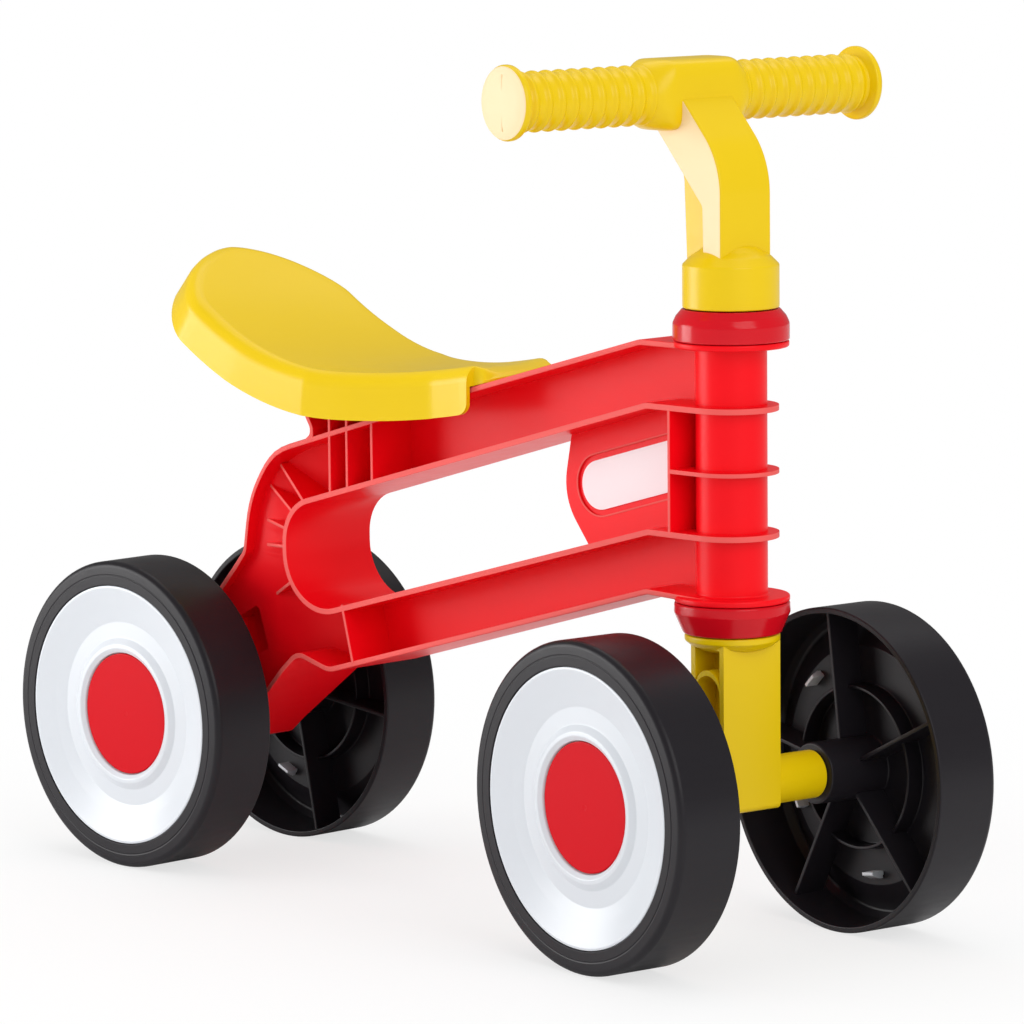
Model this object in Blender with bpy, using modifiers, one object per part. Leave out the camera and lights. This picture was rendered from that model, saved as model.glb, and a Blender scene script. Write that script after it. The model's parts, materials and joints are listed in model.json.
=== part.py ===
"""A toddler's foot-to-floor ride-on: a moulded frame on four hollow wheels, with a seat, a fork and a handlebar.

Lengths are in metres. +Z is up, the ride-on faces -Y and stands on z = 0. The steering is drawn turned a
little towards the rider's right (-X), as it stands when it is parked.
"""

import math

import bmesh
import bpy
from mathutils import Matrix, Vector

# Clearances
TOUCH_GAP = 0.0003
RUNNING_GAP = 0.0004
STEERING_GAP = 0.0005

# Overall layout
WHEEL_BASE = 0.3723
WHEEL_RADIUS = 0.080
WHEEL_WIDTH = 0.0357
FRONT_TRACK = 0.1944
REAR_TRACK = 0.1526
TRAIL = 0.0014
PARKED_STEER = math.radians(-6.67)
PARKED_WHEEL_TURNS = {"front_left": math.radians(244), "rear_left": math.radians(276)}

# Wheels, in the wheel's own frame: +Z points out along the axle and z = 0 is the rim's face
TREAD_WALL = 0.0030
SHOULDER_RADIUS = 0.0070
DISC_RADIUS = 0.0674
DISC_WALL = 0.0020
DISC_TROUGH_RADIUS = 0.0480
DISC_TROUGH_DEPTH = 0.0062
DISC_RING_RADIUS = 0.0375
CAP_RADIUS = 0.0315
CAP_DEPTH = 0.0057
CAP_WALL = 0.0015
CAP_SPIGOT_RADIUS = 0.0265
FACE_DEPTH = 0.0100
FACE_WALL = 0.0030
HUB_RADIUS = 0.0150
HUB_LENGTH = 0.0365
HUB_FACE_DEPTH = 0.0120
STIFFENER_RADIUS = 0.0400
STIFFENER_HEIGHT = 0.0090
SPOKES = 5
SPOKE_THICKNESS = 0.0020
SPOKE_DEPTH = 0.0300
HOOKS = 3
HOOK_RADIUS = 0.0530
HOOK_WIDTH = 0.0080
HOOK_THICKNESS = 0.0020
HOOK_REACH = 0.0070
WHEEL_SIDES = 24
SMALL_SIDES = 12

# Axles and their small parts
AXLE_RADIUS = 0.0040
WASHER_RADIUS = 0.0090
WASHER_THICKNESS = 0.0010
PUSH_NUT_RADIUS = 0.0080
PUSH_NUT_THICKNESS = 0.0014
AXLE_END_REACH = 0.0006

# Frame
HEAD_ABOVE_WHEELS = 0.0100
HEAD_LENGTH = 0.1253
HEAD_TUBE_RADIUS = 0.0172
HEAD_BORE_RADIUS = 0.0136
HEAD_DISC_RADIUS = 0.0278
HEAD_DISC_THICKNESS = 0.0030
FLANGE = 0.0028
WEB = 0.0026
RIB = 0.0018
NOSE_RADIUS = 0.0228
FRAME_HALF_WIDTH = 0.0290
TAIL_HALF_WIDTH = 0.0210
TAIL_BODY_HALF_WIDTH = 0.0165
REAR_BOSS_RADIUS = 0.0160
BADGE_LENGTH = 0.0900
BADGE_HEIGHT = 0.0300
BADGE_RECESS = 0.0008
LABEL_MARGIN = 0.0028
BEAM_SLOPE = math.radians(14.2)
CROSS_PLATE_BEHIND_HEAD = 0.0195
LOOP_CENTRE_AHEAD = 0.1083
LOOP_CENTRE_ABOVE = 0.0892
LOOP_RADIUS = 0.0275
LOWER_EDGE_TURN = math.radians(52.7)
PEDESTAL_BACK_AHEAD = 0.0965

# Collars
COLLAR_RADIUS = 0.0280
COLLAR_NECK_RADIUS = 0.0235
UPPER_COLLAR_HEIGHT = 0.0150
LOWER_COLLAR_HEIGHT = 0.0150

# Seat
SEAT_LENGTH_BEHIND = 0.1259
SEAT_BACK_ROUNDING = 0.0332
SEAT_BACK_FULLNESS = 1.6
SEAT_LENGTH_AHEAD = 0.0802
SEAT_NOSE = 0.0140
SEAT_NOSE_HALF_WIDTH = 0.0254
SEAT_NOSE_FALL = 30.0
SEAT_FALL_STARTS = 0.0040
SEAT_FRONT_HALF_WIDTH = 0.0296
SEAT_HALF_WIDTH = 0.0543
SEAT_STAND = 0.0263
SEAT_SKIRT = 0.0237
SEAT_SKIRT_CORNER = 0.0060
SEAT_LEAN = 1.15
SEAT_WALL = 0.0024
SEAT_EDGE = 0.0064
SEAT_SHOULDER = 0.0080
SEAT_DISH = 0.0015
SEAT_RISE_BEHIND = 3.264
SEAT_RISE_AHEAD = 1.21
SEAT_CURVED_BEHIND = 0.1147

# Fork
FORK_TUBE_RADIUS = 0.0130
FORK_TUBE_BORE = 0.0100
CROWN_RADIUS = 0.0230
CROWN_HEIGHT = 0.0030
LEG_HALF_WIDTH = 0.0175
LEG_FRONT = 0.0148
LEG_REAR = 0.0100
LEG_FOOT = 0.0115
LEG_POCKET = 0.0120
LEG_WALL = 0.0032
CROSS_TUBE_RADIUS = 0.0118

# Handlebar
BAR_LENGTH = 0.2210
BAR_SETBACK = 0.0337
BAR_ABOVE_HEAD = 0.1163
GRIP_RADIUS = 0.0146
GRIP_GROOVE = 0.0014
GRIP_RIDGES = 10
GRIP_PITCH = 0.0079
GRIP_FLANGE_RADIUS = 0.0180
GRIP_FLANGE_WIDTH = 0.0050
BLOCK_HALF_LENGTH = 0.0285
BLOCK_SIZE = 0.0340
BLOCK_ROUNDING = 0.0090
STEM_HALF_WIDTH = 0.0155
STEM_FRONT = 0.0115
STEM_BACK = 0.0023
STEM_SPINE_HALF_WIDTH = 0.0105
STEM_SPINE_BACK = 0.0205
SOCKET_RADIUS = 0.0232
SOCKET_HEIGHT = 0.0206
SOCKET_DOME = 0.0105
PIN_RADIUS = 0.0025
BAR_SIDES = 20

# Places that follow from the sizes above
FRONT_AXLE_Y = -WHEEL_BASE / 2
REAR_AXLE_Y = WHEEL_BASE / 2
AXLE_Z = WHEEL_RADIUS
HEAD_Y = FRONT_AXLE_Y + TRAIL
HEAD_BOTTOM = 2 * WHEEL_RADIUS + HEAD_ABOVE_WHEELS
HEAD_TOP = HEAD_BOTTOM + HEAD_LENGTH
BEAM_DEPTH = 0.0335
PAST_NOSE_Y = HEAD_Y - NOSE_RADIUS - 0.006
DISC_LAP = 0.0005
SLIVER = 0.0002
TOP_RIB_Z = HEAD_TOP - BEAM_DEPTH
LOW_RIB_Z = HEAD_BOTTOM + BEAM_DEPTH
UPPER_COLLAR_TOP = HEAD_TOP + TOUCH_GAP + UPPER_COLLAR_HEIGHT
LOWER_COLLAR_BOTTOM = HEAD_BOTTOM - TOUCH_GAP - LOWER_COLLAR_HEIGHT
BAR_Z = HEAD_TOP + BAR_ABOVE_HEAD
SOCKET_BOTTOM = UPPER_COLLAR_TOP + STEERING_GAP
SOCKET_TOP = SOCKET_BOTTOM + SOCKET_HEIGHT
CROWN_TOP = LOWER_COLLAR_BOTTOM - STEERING_GAP
HUB_INNER_DEPTH = HUB_FACE_DEPTH + HUB_LENGTH
HUB_BORE_RADIUS = AXLE_RADIUS + RUNNING_GAP
AXLE_SEAT_RADIUS = AXLE_RADIUS + TOUCH_GAP
WASHER_DEPTH = HUB_FACE_DEPTH - TOUCH_GAP
PUSH_NUT_DEPTH = WASHER_DEPTH - WASHER_THICKNESS - TOUCH_GAP
AXLE_END_DEPTH = PUSH_NUT_DEPTH - PUSH_NUT_THICKNESS - AXLE_END_REACH
SEAT_LOW_Y = REAR_AXLE_Y - 0.1373
SEAT_FRONT_Y = SEAT_LOW_Y - SEAT_LENGTH_AHEAD

# The whole ride-on is moved by this much, so that its box is centred on the origin
FOREMOST = (FRONT_TRACK - WHEEL_WIDTH) / 2 * math.sin(-PARKED_STEER) + WHEEL_RADIUS * math.cos(PARKED_STEER)
CENTRING = Vector(
    (
        -BAR_SETBACK * math.sin(-PARKED_STEER),
        (FOREMOST - WHEEL_RADIUS) / 2,
        0.0,
    )
)


def fresh_collection(name):
    collection = bpy.data.collections.new(name)
    bpy.context.scene.collection.children.link(collection)
    return collection


def plastic(name, colour, roughness, metallic=0.0):
    """A Principled material with one colour."""
    material = bpy.data.materials.new(name)
    material.use_nodes = True
    shader = material.node_tree.nodes["Principled BSDF"]
    shader.inputs["Base Color"].default_value = (*colour, 1.0)
    shader.inputs["Roughness"].default_value = roughness
    shader.inputs["Metallic"].default_value = metallic
    material.diffuse_color = (*colour, 1.0)
    return material


def rounded_outline(corners, arc_step=math.radians(18)):
    """The closed outline through corners (a, b, radius), each rounded by an arc of its radius."""
    points = []
    count = len(corners)
    for index, (a, b, radius) in enumerate(corners):
        corner = Vector((a, b))
        before = Vector(corners[index - 1][:2]) - corner
        after = Vector(corners[(index + 1) % count][:2]) - corner
        if radius <= 0:
            points.append(corner)
            continue
        half = before.angle(after) / 2
        turn = math.pi - 2 * half
        reach = min(radius / math.tan(half), 0.49 * before.length, 0.49 * after.length)
        radius = reach * math.tan(half)
        middle = corner + (before.normalized() + after.normalized()).normalized() * radius / math.sin(half)
        start = corner + before.normalized() * reach - middle
        side = 1 if start.x * (corner - middle).y - start.y * (corner - middle).x > 0 else -1
        steps = max(1, math.ceil(turn / arc_step))
        for step in range(steps + 1):
            angle = side * turn * step / steps
            points.append(middle + Matrix.Rotation(angle, 2) @ start)
    return points


def divided(points, step):
    """The open path with points added, so that none are further apart than step."""
    finer = [points[0]]
    for start, end in zip(points, points[1:]):
        count = max(1, math.ceil((end - start).length / step))
        finer += [start.lerp(end, i / count) for i in range(1, count + 1)]
    return finer


def stadium_outline(centre, length, height, slope, sides=8):
    """A bar with round ends, whose long axis is turned by slope."""
    radius = height / 2
    half = length / 2 - radius
    points = []
    for end, start in ((1, -math.pi / 2), (-1, math.pi / 2)):
        for i in range(sides + 1):
            angle = start + math.pi * i / sides
            points.append(Vector((end * half + radius * math.cos(angle), radius * math.sin(angle))))
    return [Vector(centre) + Matrix.Rotation(slope, 2) @ point for point in points]


def flattened(obj):
    """The object as a plain mesh: its modifiers or curve made real, with loose caps welded."""
    bpy.context.view_layer.update()
    graph = bpy.context.evaluated_depsgraph_get()
    mesh = bpy.data.meshes.new_from_object(obj.evaluated_get(graph))
    bm = bmesh.new()
    bm.from_mesh(mesh)
    bmesh.ops.transform(bm, matrix=obj.matrix_world, verts=bm.verts)
    bmesh.ops.remove_doubles(bm, verts=bm.verts, dist=1e-6)
    bmesh.ops.dissolve_degenerate(bm, edges=bm.edges, dist=1e-6)
    bmesh.ops.recalc_face_normals(bm, faces=bm.faces)
    bm.to_mesh(mesh)
    bm.free()
    name = obj.name
    bpy.data.objects.remove(obj)
    plain = bpy.data.objects.new(name, mesh)
    WORKSHOP.objects.link(plain)
    return plain


# Each plane's matrix takes a flat outline (first, second coordinate) and its thickness into place
PLANES = {
    "side": Matrix(((0, 0, 1, 0), (1, 0, 0, 0), (0, 1, 0, 0), (0, 0, 0, 1))),
    "plan": Matrix.Identity(4),
    "front": Matrix(((1, 0, 0, 0), (0, 0, -1, 0), (0, 1, 0, 0), (0, 0, 0, 1))),
}


def slab(name, outlines, low, high, plane="side"):
    """A flat solid: closed outlines, the later ones holes in the first, from low to high across the plane."""
    curve = bpy.data.curves.new(name, "CURVE")
    curve.dimensions = "2D"
    curve.fill_mode = "BOTH"
    curve.extrude = (high - low) / 2
    for outline in outlines:
        spline = curve.splines.new("POLY")
        spline.points.add(len(outline) - 1)
        for point, (a, b) in zip(spline.points, outline):
            point.co = (a, b, 0.0, 1.0)
        spline.use_cyclic_u = True
    obj = bpy.data.objects.new(name, curve)
    WORKSHOP.objects.link(obj)
    obj.matrix_world = PLANES[plane] @ Matrix.Translation((0, 0, (low + high) / 2))
    return flattened(obj)


def turned(name, profile, sides, matrix=None):
    """A turned solid from (radius, height) points, which run down the outer side and back up the inner one."""
    mesh = bpy.data.meshes.new(name)
    bm = bmesh.new()
    verts = [bm.verts.new((radius, 0.0, height)) for radius, height in profile]
    for first, second in zip(verts, verts[1:]):
        bm.edges.new((first, second))
    if profile[0][0] > 0 and profile[-1][0] > 0:
        bm.edges.new((verts[-1], verts[0]))
    bm.to_mesh(mesh)
    bm.free()
    obj = bpy.data.objects.new(name, mesh)
    WORKSHOP.objects.link(obj)
    screw = obj.modifiers.new("Turn", "SCREW")
    screw.steps = screw.render_steps = sides
    screw.use_merge_vertices = True
    screw.merge_threshold = 1e-5
    obj.matrix_world = matrix or Matrix.Identity(4)
    return flattened(obj)


def block(name, low, high):
    """A box between two corners."""
    low, high = Vector(low), Vector(high)
    mesh = bpy.data.meshes.new(name)
    bm = bmesh.new()
    bmesh.ops.create_cube(bm, size=1.0)
    bmesh.ops.scale(bm, vec=high - low, verts=bm.verts)
    bmesh.ops.translate(bm, vec=(low + high) / 2, verts=bm.verts)
    bm.to_mesh(mesh)
    bm.free()
    obj = bpy.data.objects.new(name, mesh)
    WORKSHOP.objects.link(obj)
    return obj


def placed(obj, matrix):
    obj.data.transform(matrix)
    return obj


def shaped(obj, operation, others):
    """The object after a Boolean with each of the others, which are used up."""
    for other in others:
        modifier = obj.modifiers.new(other.name, "BOOLEAN")
        modifier.operation = operation
        modifier.solver = "EXACT"
        modifier.object = other
    plain = flattened(obj)
    for other in others:
        bpy.data.objects.remove(other)
    return plain


def joined(obj, others):
    return shaped(obj, "UNION", others)


def cut(obj, others):
    return shaped(obj, "DIFFERENCE", others)


def finished(obj, name, material, parent, matrix=None):
    """Moves a solid out of the workshop: its place is told from its parent's frame."""
    WORKSHOP.objects.unlink(obj)
    RIDE_ON.objects.link(obj)
    obj.name = name
    obj.data.name = name
    obj.data.materials.clear()
    obj.data.materials.append(material)
    obj.parent = parent
    obj.matrix_parent_inverse = Matrix.Identity(4)
    obj.matrix_basis = matrix or Matrix.Identity(4)
    obj.data.shade_smooth()
    obj.data.set_sharp_from_angle(angle=math.radians(35))
    return obj


def empty(name, parent, matrix):
    obj = bpy.data.objects.new(name, None)
    obj.empty_display_size = 0.02
    RIDE_ON.objects.link(obj)
    obj.parent = parent
    obj.matrix_basis = matrix
    return obj


# Frame


def beam_top(y):
    """The height of the frame's top edge at y, along the upper beam."""
    corners = top_edge_corners()
    for (y0, z0, _), (y1, z1, _) in zip(corners, corners[1:]):
        if y <= y1:
            return z0 + (z1 - z0) * (y - y0) / (y1 - y0)
    return corners[-1][1]


def top_edge_corners():
    bend = (HEAD_Y + 0.0388, HEAD_TOP - DISC_LAP, 0.012)
    shoulder = (REAR_AXLE_Y - 0.0680, AXLE_Z + 0.1396, 0.055)
    share = 0.447
    bow = 0.0012
    crest = (
        bend[0] + share * (shoulder[0] - bend[0]),
        bend[1] + share * (shoulder[1] - bend[1]) + bow,
        0.120,
    )
    return [(PAST_NOSE_Y - 0.001, HEAD_TOP - DISC_LAP, 0.0), bend, crest, shoulder]


def outer_corners():
    """The frame's outside, seen from the side: along the top, round the tail and back along the lower beam."""
    tail = [
        (REAR_AXLE_Y - 0.0446, AXLE_Z + 0.1125, 0.058),
        (REAR_AXLE_Y - 0.0386, AXLE_Z + 0.0845, 0.006),
        (REAR_AXLE_Y + 0.0180, AXLE_Z + 0.0240, 0.016),
        (REAR_AXLE_Y + 0.0180, AXLE_Z - 0.0180, 0.018),
        (REAR_AXLE_Y - 0.0262, AXLE_Z - 0.0180, 0.010),
        (REAR_AXLE_Y - 0.0882, AXLE_Z + 0.0350, 0.009),
        (REAR_AXLE_Y - 0.1112, AXLE_Z + 0.0289, 0.016),
    ]
    front = [(HEAD_Y + 0.0348, HEAD_BOTTOM + 0.0017, 0.010), (PAST_NOSE_Y - 0.001, HEAD_BOTTOM + DISC_LAP, 0.0)]
    return top_edge_corners() + tail + front


def window_corners():
    """The long opening between the beams, from the head tube to the round loop at the back."""
    y, z = REAR_AXLE_Y - LOOP_CENTRE_AHEAD, AXLE_Z + LOOP_CENTRE_ABOVE
    reach = LOOP_RADIUS * math.tan(LOWER_EDGE_TURN / 2)
    along = Matrix.Rotation(-LOWER_EDGE_TURN, 2) @ Vector((0.0, -2 * reach))
    return [
        (PAST_NOSE_Y, TOP_RIB_Z, 0.0),
        (HEAD_Y + 0.0343, TOP_RIB_Z, 0.010),
        (y + LOOP_RADIUS, z + LOOP_RADIUS * 0.757, LOOP_RADIUS),
        (y + LOOP_RADIUS, z - reach, LOOP_RADIUS),
        (y + LOOP_RADIUS + along.x, z - reach + along.y, LOOP_RADIUS),
        (HEAD_Y + 0.0338, LOW_RIB_Z, 0.010),
        (PAST_NOSE_Y, LOW_RIB_Z, 0.0),
    ]


def grown(points, distance):
    """The closed outline moved outwards by distance, or inwards where distance is negative."""
    area = sum(a.x * b.y - b.x * a.y for a, b in zip(points, points[1:] + points[:1]))
    distance = -distance if area > 0 else distance
    moved = []
    count = len(points)
    for index, point in enumerate(points):
        before = (point - points[index - 1]).normalized()
        after = (points[(index + 1) % count] - point).normalized()
        normal = (Vector((-before.y, before.x)) + Vector((-after.y, after.x))).normalized()
        stretch = max(0.3, normal.dot(Vector((-after.y, after.x))))
        moved.append(point + normal * distance / stretch)
    return moved


def window_point(y, upper):
    """The height of the window's upper or lower straight edge at y."""
    corners = window_corners()
    first, second = (corners[1], corners[2]) if upper else (corners[5], corners[4])
    return first[1] + (second[1] - first[1]) * (y - first[0]) / (second[0] - first[0])


def badge_centre():
    y = HEAD_Y + 0.0600
    return Vector((y, (window_point(y, True) + window_point(y, False)) / 2 + 0.0005))


def frame_web():
    """The plate in the frame's middle plane, with the window cut out behind the badge plate."""
    outer = rounded_outline(outer_corners())
    outer = grown(outer, -FLANGE / 2)
    outer = [Vector((max(point.x, HEAD_Y), point.y)) for point in outer]
    corners = window_corners()
    badge_back = HEAD_Y + 0.1130
    low, high = window_point(badge_back - 0.018, False), window_point(badge_back - 0.005, True)
    lap = FLANGE / 2
    opening = rounded_outline(
        [
            (badge_back - 0.005, high + lap, 0.0),
            (corners[2][0] + lap, corners[2][1] + lap, corners[2][2]),
            (corners[3][0] + lap, corners[3][1] - lap * 0.5, corners[3][2]),
            (corners[4][0] + lap * 0.2, corners[4][1] - lap * 1.1, corners[4][2]),
            (badge_back - 0.018, low - lap, 0.0),
            (badge_back + 0.0015, (low + high) / 2 - 0.004, 0.030),
        ]
    )
    return slab("web", [outer, opening], -WEB / 2, WEB / 2)


def band(name, outline, growth, half_width):
    """A strip of flange between an outline and the same outline grown or shrunk."""
    return slab(name, [outline, grown(outline, growth)], -half_width, half_width)


def plan_outline():
    """The frame's edge seen from above: a round nose, widening back to the loop and narrowing at the tail."""
    nose = [
        Vector((NOSE_RADIUS * math.cos(a), HEAD_Y + NOSE_RADIUS * math.sin(a)))
        for a in [math.pi + math.pi * i / 20 for i in range(21)]
    ]
    side = [
        (FRAME_HALF_WIDTH, REAR_AXLE_Y - 0.0862),
        (FRAME_HALF_WIDTH, REAR_AXLE_Y - 0.0740),
        (TAIL_HALF_WIDTH, REAR_AXLE_Y - 0.0360),
        (TAIL_HALF_WIDTH, REAR_AXLE_Y + 0.0400),
    ]
    return nose + [Vector(p) for p in side] + [Vector((-x, y)) for x, y in reversed(side)]


def upright_rib(name, y, low, high, half_width):
    return block(name, (-half_width, y - RIB / 2, low), (half_width, y + RIB / 2, high))


def gusset(name, inner, outer, half_width, outer_half_width):
    """A rib from one flange at inner to another at outer, where it may stand less far out from the web."""
    inner, outer = Vector(inner), Vector(outer)
    length = (outer - inner).length
    sink = 0.002
    outline = [(-sink, -half_width), (length, -outer_half_width), (length, outer_half_width), (-sink, half_width)]
    solid = slab(name, [outline], -RIB / 2, RIB / 2, "plan")
    run = (outer - inner).normalized()
    matrix = Matrix(((0, 1, 0, 0), (run.x, 0, run.y, inner.x), (run.y, 0, -run.x, inner.y), (0, 0, 0, 1)))
    return placed(solid, matrix)


def seat_pedestal():
    """The middle plate that stands on the frame's back and carries the seat."""
    rear = REAR_AXLE_Y - PEDESTAL_BACK_AHEAD
    front = SEAT_LOW_Y - 0.0580
    under = SEAT_WALL + SEAT_DISH + TOUCH_GAP + 0.0006
    steps = 10
    stations = [front + (rear - front) * i / steps for i in range(steps + 1)]
    top = [(y, seat_top(y) - under) for y in stations]
    foot = [(rear, beam_top(rear) + 0.0120), (rear - 0.0040, beam_top(rear) + 0.0060)]
    foot += [(y, beam_top(y) - FLANGE / 2) for y in (rear - 0.0040, front)]
    half = WEB / 2 - SLIVER
    return slab("pedestal", [[Vector(p) for p in top + foot]], -half, half)


def pedestal_back(half_width):
    """The wall that closes the pedestal behind. It springs from the beam in a hollow curve."""
    rear = REAR_AXLE_Y - PEDESTAL_BACK_AHEAD
    top = seat_top(rear) - SEAT_WALL - SEAT_DISH - 0.004
    beam = beam_top(rear)
    outer = [(0.0012, top), (0.0012, beam + 0.0160), (0.0, beam + 0.0104), (-0.0018, beam + 0.0078)]
    outer += [(-0.0030, beam + 0.0052), (-0.0031, beam + 0.0034), (-0.0023, beam + 0.0018), (0.0, beam - 0.0008)]
    inner = [(-0.0050, beam - 0.0008), (-0.0056, beam + 0.0020), (-0.0059, beam + 0.0043), (-0.0053, beam + 0.0068)]
    inner += [(-0.0036, beam + 0.0096), (-0.0018, beam + 0.0160), (-0.0018, top)]
    return slab("pedestal_back", [[Vector((rear + y, z)) for y, z in outer + inner]], -half_width, half_width)


def loop_gussets():
    """The ribs that fan out behind the loop, as (inner, outer, outer half width) measured from the rear axle."""
    ends = [
        ((-0.0930, 0.1157), (-0.0665, 0.1312), 0.0195),
        ((-0.0840, 0.1096), (-0.0556, 0.1193), 0.0170),
        ((-0.0784, 0.1002), (-0.0452, 0.1012), 0.0135),
        ((-0.0767, 0.0906), (-0.0424, 0.0871), 0.0123),
        ((-0.0817, 0.0721), (-0.0575, 0.0626), 0.0160),
    ]
    origin = Vector((REAR_AXLE_Y, AXLE_Z))
    return [
        gusset(f"gusset_{i}", origin + Vector(inner), origin + Vector(outer), FRAME_HALF_WIDTH - 0.001, outer_half)
        for i, (inner, outer, outer_half) in enumerate(ends)
    ]


def tail_body():
    """The thick end of the frame that holds the rear axle. It swells out of the web behind the loop."""
    y, z = REAR_AXLE_Y, AXLE_Z
    start = y - 0.1125
    outer = [p for p in grown(rounded_outline(outer_corners()), -FLANGE / 2) if p.x > start]
    window = [p for p in grown(rounded_outline(window_corners()), FLANGE / 2) if p.x > start]
    side = [Vector((start, beam_top(start) - FLANGE / 2))] + outer
    side += [Vector((start, z + 0.0312)), Vector((start, window_point(start, False) - FLANGE / 2))]
    side += window[::-1] + [Vector((start, window_point(start, True) + FLANGE / 2))]
    body = slab("tail_body", [side], -TAIL_HALF_WIDTH, TAIL_HALF_WIDTH)
    half = TAIL_BODY_HALF_WIDTH
    root = WEB / 2 - 3 * SLIVER
    flank = [(root, y - 0.112), (half, y - 0.060), (half, y + 0.030)]
    wedge = flank + [(-x, along) for x, along in reversed(flank)]
    wedge_solid = slab("tail_wedge", [[Vector(p) for p in wedge]], 0.0, HEAD_BOTTOM, "plan")
    body = shaped(body, "INTERSECT", [wedge_solid])
    pocket_outline = rounded_outline(
        [
            (y - 0.0520, z + 0.0330, 0.003),
            (y - 0.0440, z + 0.0560, 0.003),
            (y - 0.0250, z + 0.0460, 0.003),
            (y - 0.0250, z + 0.0260, 0.003),
        ]
    )
    pockets = [
        slab("pocket_right", [pocket_outline], -TAIL_HALF_WIDTH, -half + 0.009),
        slab("pocket_left", [pocket_outline], half - 0.009, TAIL_HALF_WIDTH),
    ]
    return cut(body, pockets)


def rear_boss():
    matrix = Matrix.Translation((0, REAR_AXLE_Y, AXLE_Z)) @ Matrix.Rotation(math.pi / 2, 4, "Y")
    half = REAR_TRACK / 2 - HUB_INNER_DEPTH - TOUCH_GAP
    profile = [(0, half), (REAR_BOSS_RADIUS - 0.001, half), (REAR_BOSS_RADIUS, half - 0.001)]
    profile += [(radius, -height) for radius, height in reversed(profile)]
    return turned("rear_boss", profile, WHEEL_SIDES, matrix)


def head_tube():
    """The upright tube with a disc at each end and the plates that join it to the beams."""
    matrix = Matrix.Translation((0, HEAD_Y, 0))
    t = HEAD_DISC_THICKNESS
    profile = [
        (0, HEAD_TOP),
        (HEAD_DISC_RADIUS, HEAD_TOP),
        (HEAD_DISC_RADIUS, HEAD_TOP - t),
        (HEAD_TUBE_RADIUS, HEAD_TOP - t),
        (HEAD_TUBE_RADIUS, HEAD_BOTTOM + t),
        (HEAD_DISC_RADIUS, HEAD_BOTTOM + t),
        (HEAD_DISC_RADIUS, HEAD_BOTTOM),
        (0, HEAD_BOTTOM),
    ]
    return turned("head_tube", profile, WHEEL_SIDES, matrix)


def head_ribs():
    """The middle plate round the head tube, and the cross plate behind it. The flanges make the other two."""
    middle = (TOP_RIB_Z + LOW_RIB_Z) / 2
    behind = HEAD_Y + CROSS_PLATE_BEHIND_HEAD
    front = HEAD_Y - NOSE_RADIUS - 0.002
    half = NOSE_RADIUS + 0.002
    ribs = [block("head_rib", (-half, front, middle - 0.001), (half, behind, middle + 0.001))]
    ribs.append(upright_rib("cross_plate", behind, LOW_RIB_Z - FLANGE / 2, TOP_RIB_Z + FLANGE / 2, half + 0.003))
    return ribs


def build_frame(material, parent):
    half = FRAME_HALF_WIDTH + 0.004
    outer = rounded_outline(outer_corners())
    window = rounded_outline(window_corners())
    frame = frame_web()
    pieces = [
        band("outer_flange", outer, -FLANGE, half + 0.0010),
        band("window_flange", window, FLANGE, half + 0.0006),
    ]
    for i, y in enumerate((REAR_AXLE_Y - 0.1142, REAR_AXLE_Y - 0.1269, REAR_AXLE_Y - 0.1452)):
        top = beam_top(y) - FLANGE / 2
        if i < 2:
            top = seat_top(y) - SEAT_WALL - SEAT_DISH - 0.004
        pieces.append(upright_rib(f"back_rib_{i}", y, window_point(y, True) + FLANGE / 2, top, half))
    pieces += head_ribs() + [pedestal_back(half)]
    frame = joined(frame, pieces)
    lower_rib = gusset(
        "lower_rib",
        (REAR_AXLE_Y - 0.1222, window_point(REAR_AXLE_Y - 0.1222, False) - FLANGE / 2),
        (REAR_AXLE_Y - 0.1296, AXLE_Z + 0.0355),
        half,
        half,
    )
    frame = joined(frame, [lower_rib] + loop_gussets())
    trim = slab("plan_trim", [plan_outline()], 0.0, 2 * HEAD_TOP, "plan")
    frame = shaped(frame, "INTERSECT", [trim])
    frame = joined(frame, [seat_pedestal(), tail_body(), rear_boss(), head_tube()])
    centre = badge_centre()
    badge = stadium_outline(centre, BADGE_LENGTH, BADGE_HEIGHT, -BEAM_SLOPE)
    high, low = HEAD_TOP + 0.010, HEAD_BOTTOM - 0.010
    between_sides = Matrix.Translation((0, HEAD_Y, 0)) @ Matrix.Rotation(math.pi / WHEEL_SIDES, 4, "Z")
    head_bore = [(0, high), (HEAD_BORE_RADIUS, high), (HEAD_BORE_RADIUS, low), (0, low)]
    bores = [
        turned("head_bore", head_bore, WHEEL_SIDES, between_sides),
        turned(
            "axle_bore",
            [(0, 1), (AXLE_SEAT_RADIUS, 1), (AXLE_SEAT_RADIUS, -1), (0, -1)],
            SMALL_SIDES,
            Matrix.Translation((0, REAR_AXLE_Y, AXLE_Z)) @ Matrix.Rotation(math.pi / 2, 4, "Y"),
        ),
        slab("badge_right", [badge], -WEB, -WEB / 2 + BADGE_RECESS),
        slab("badge_left", [badge], WEB / 2 - BADGE_RECESS, WEB),
    ]
    frame = cut(frame, bores)
    return finished(frame, "frame", material, parent)


def build_labels(material, parent):
    """The blank plates in the badge's recesses. They end short of the cross plate behind the head tube."""
    length, height = BADGE_LENGTH - 2 * LABEL_MARGIN, BADGE_HEIGHT - 2 * LABEL_MARGIN
    outline = stadium_outline(badge_centre(), length, height, -BEAM_SLOPE)
    limit = HEAD_Y + CROSS_PLATE_BEHIND_HEAD + RIB / 2 + TOUCH_GAP
    clipped = [Vector((max(point.x, limit), point.y)) for point in outline]
    floor = WEB / 2 - BADGE_RECESS + TOUCH_GAP
    for name, low, high in (("badge_label_right", -floor - 0.0005, -floor), ("badge_label_left", floor, floor + 0.0005)):
        finished(slab(name, [clipped], low, high), name, material, parent)


# Seat


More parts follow.
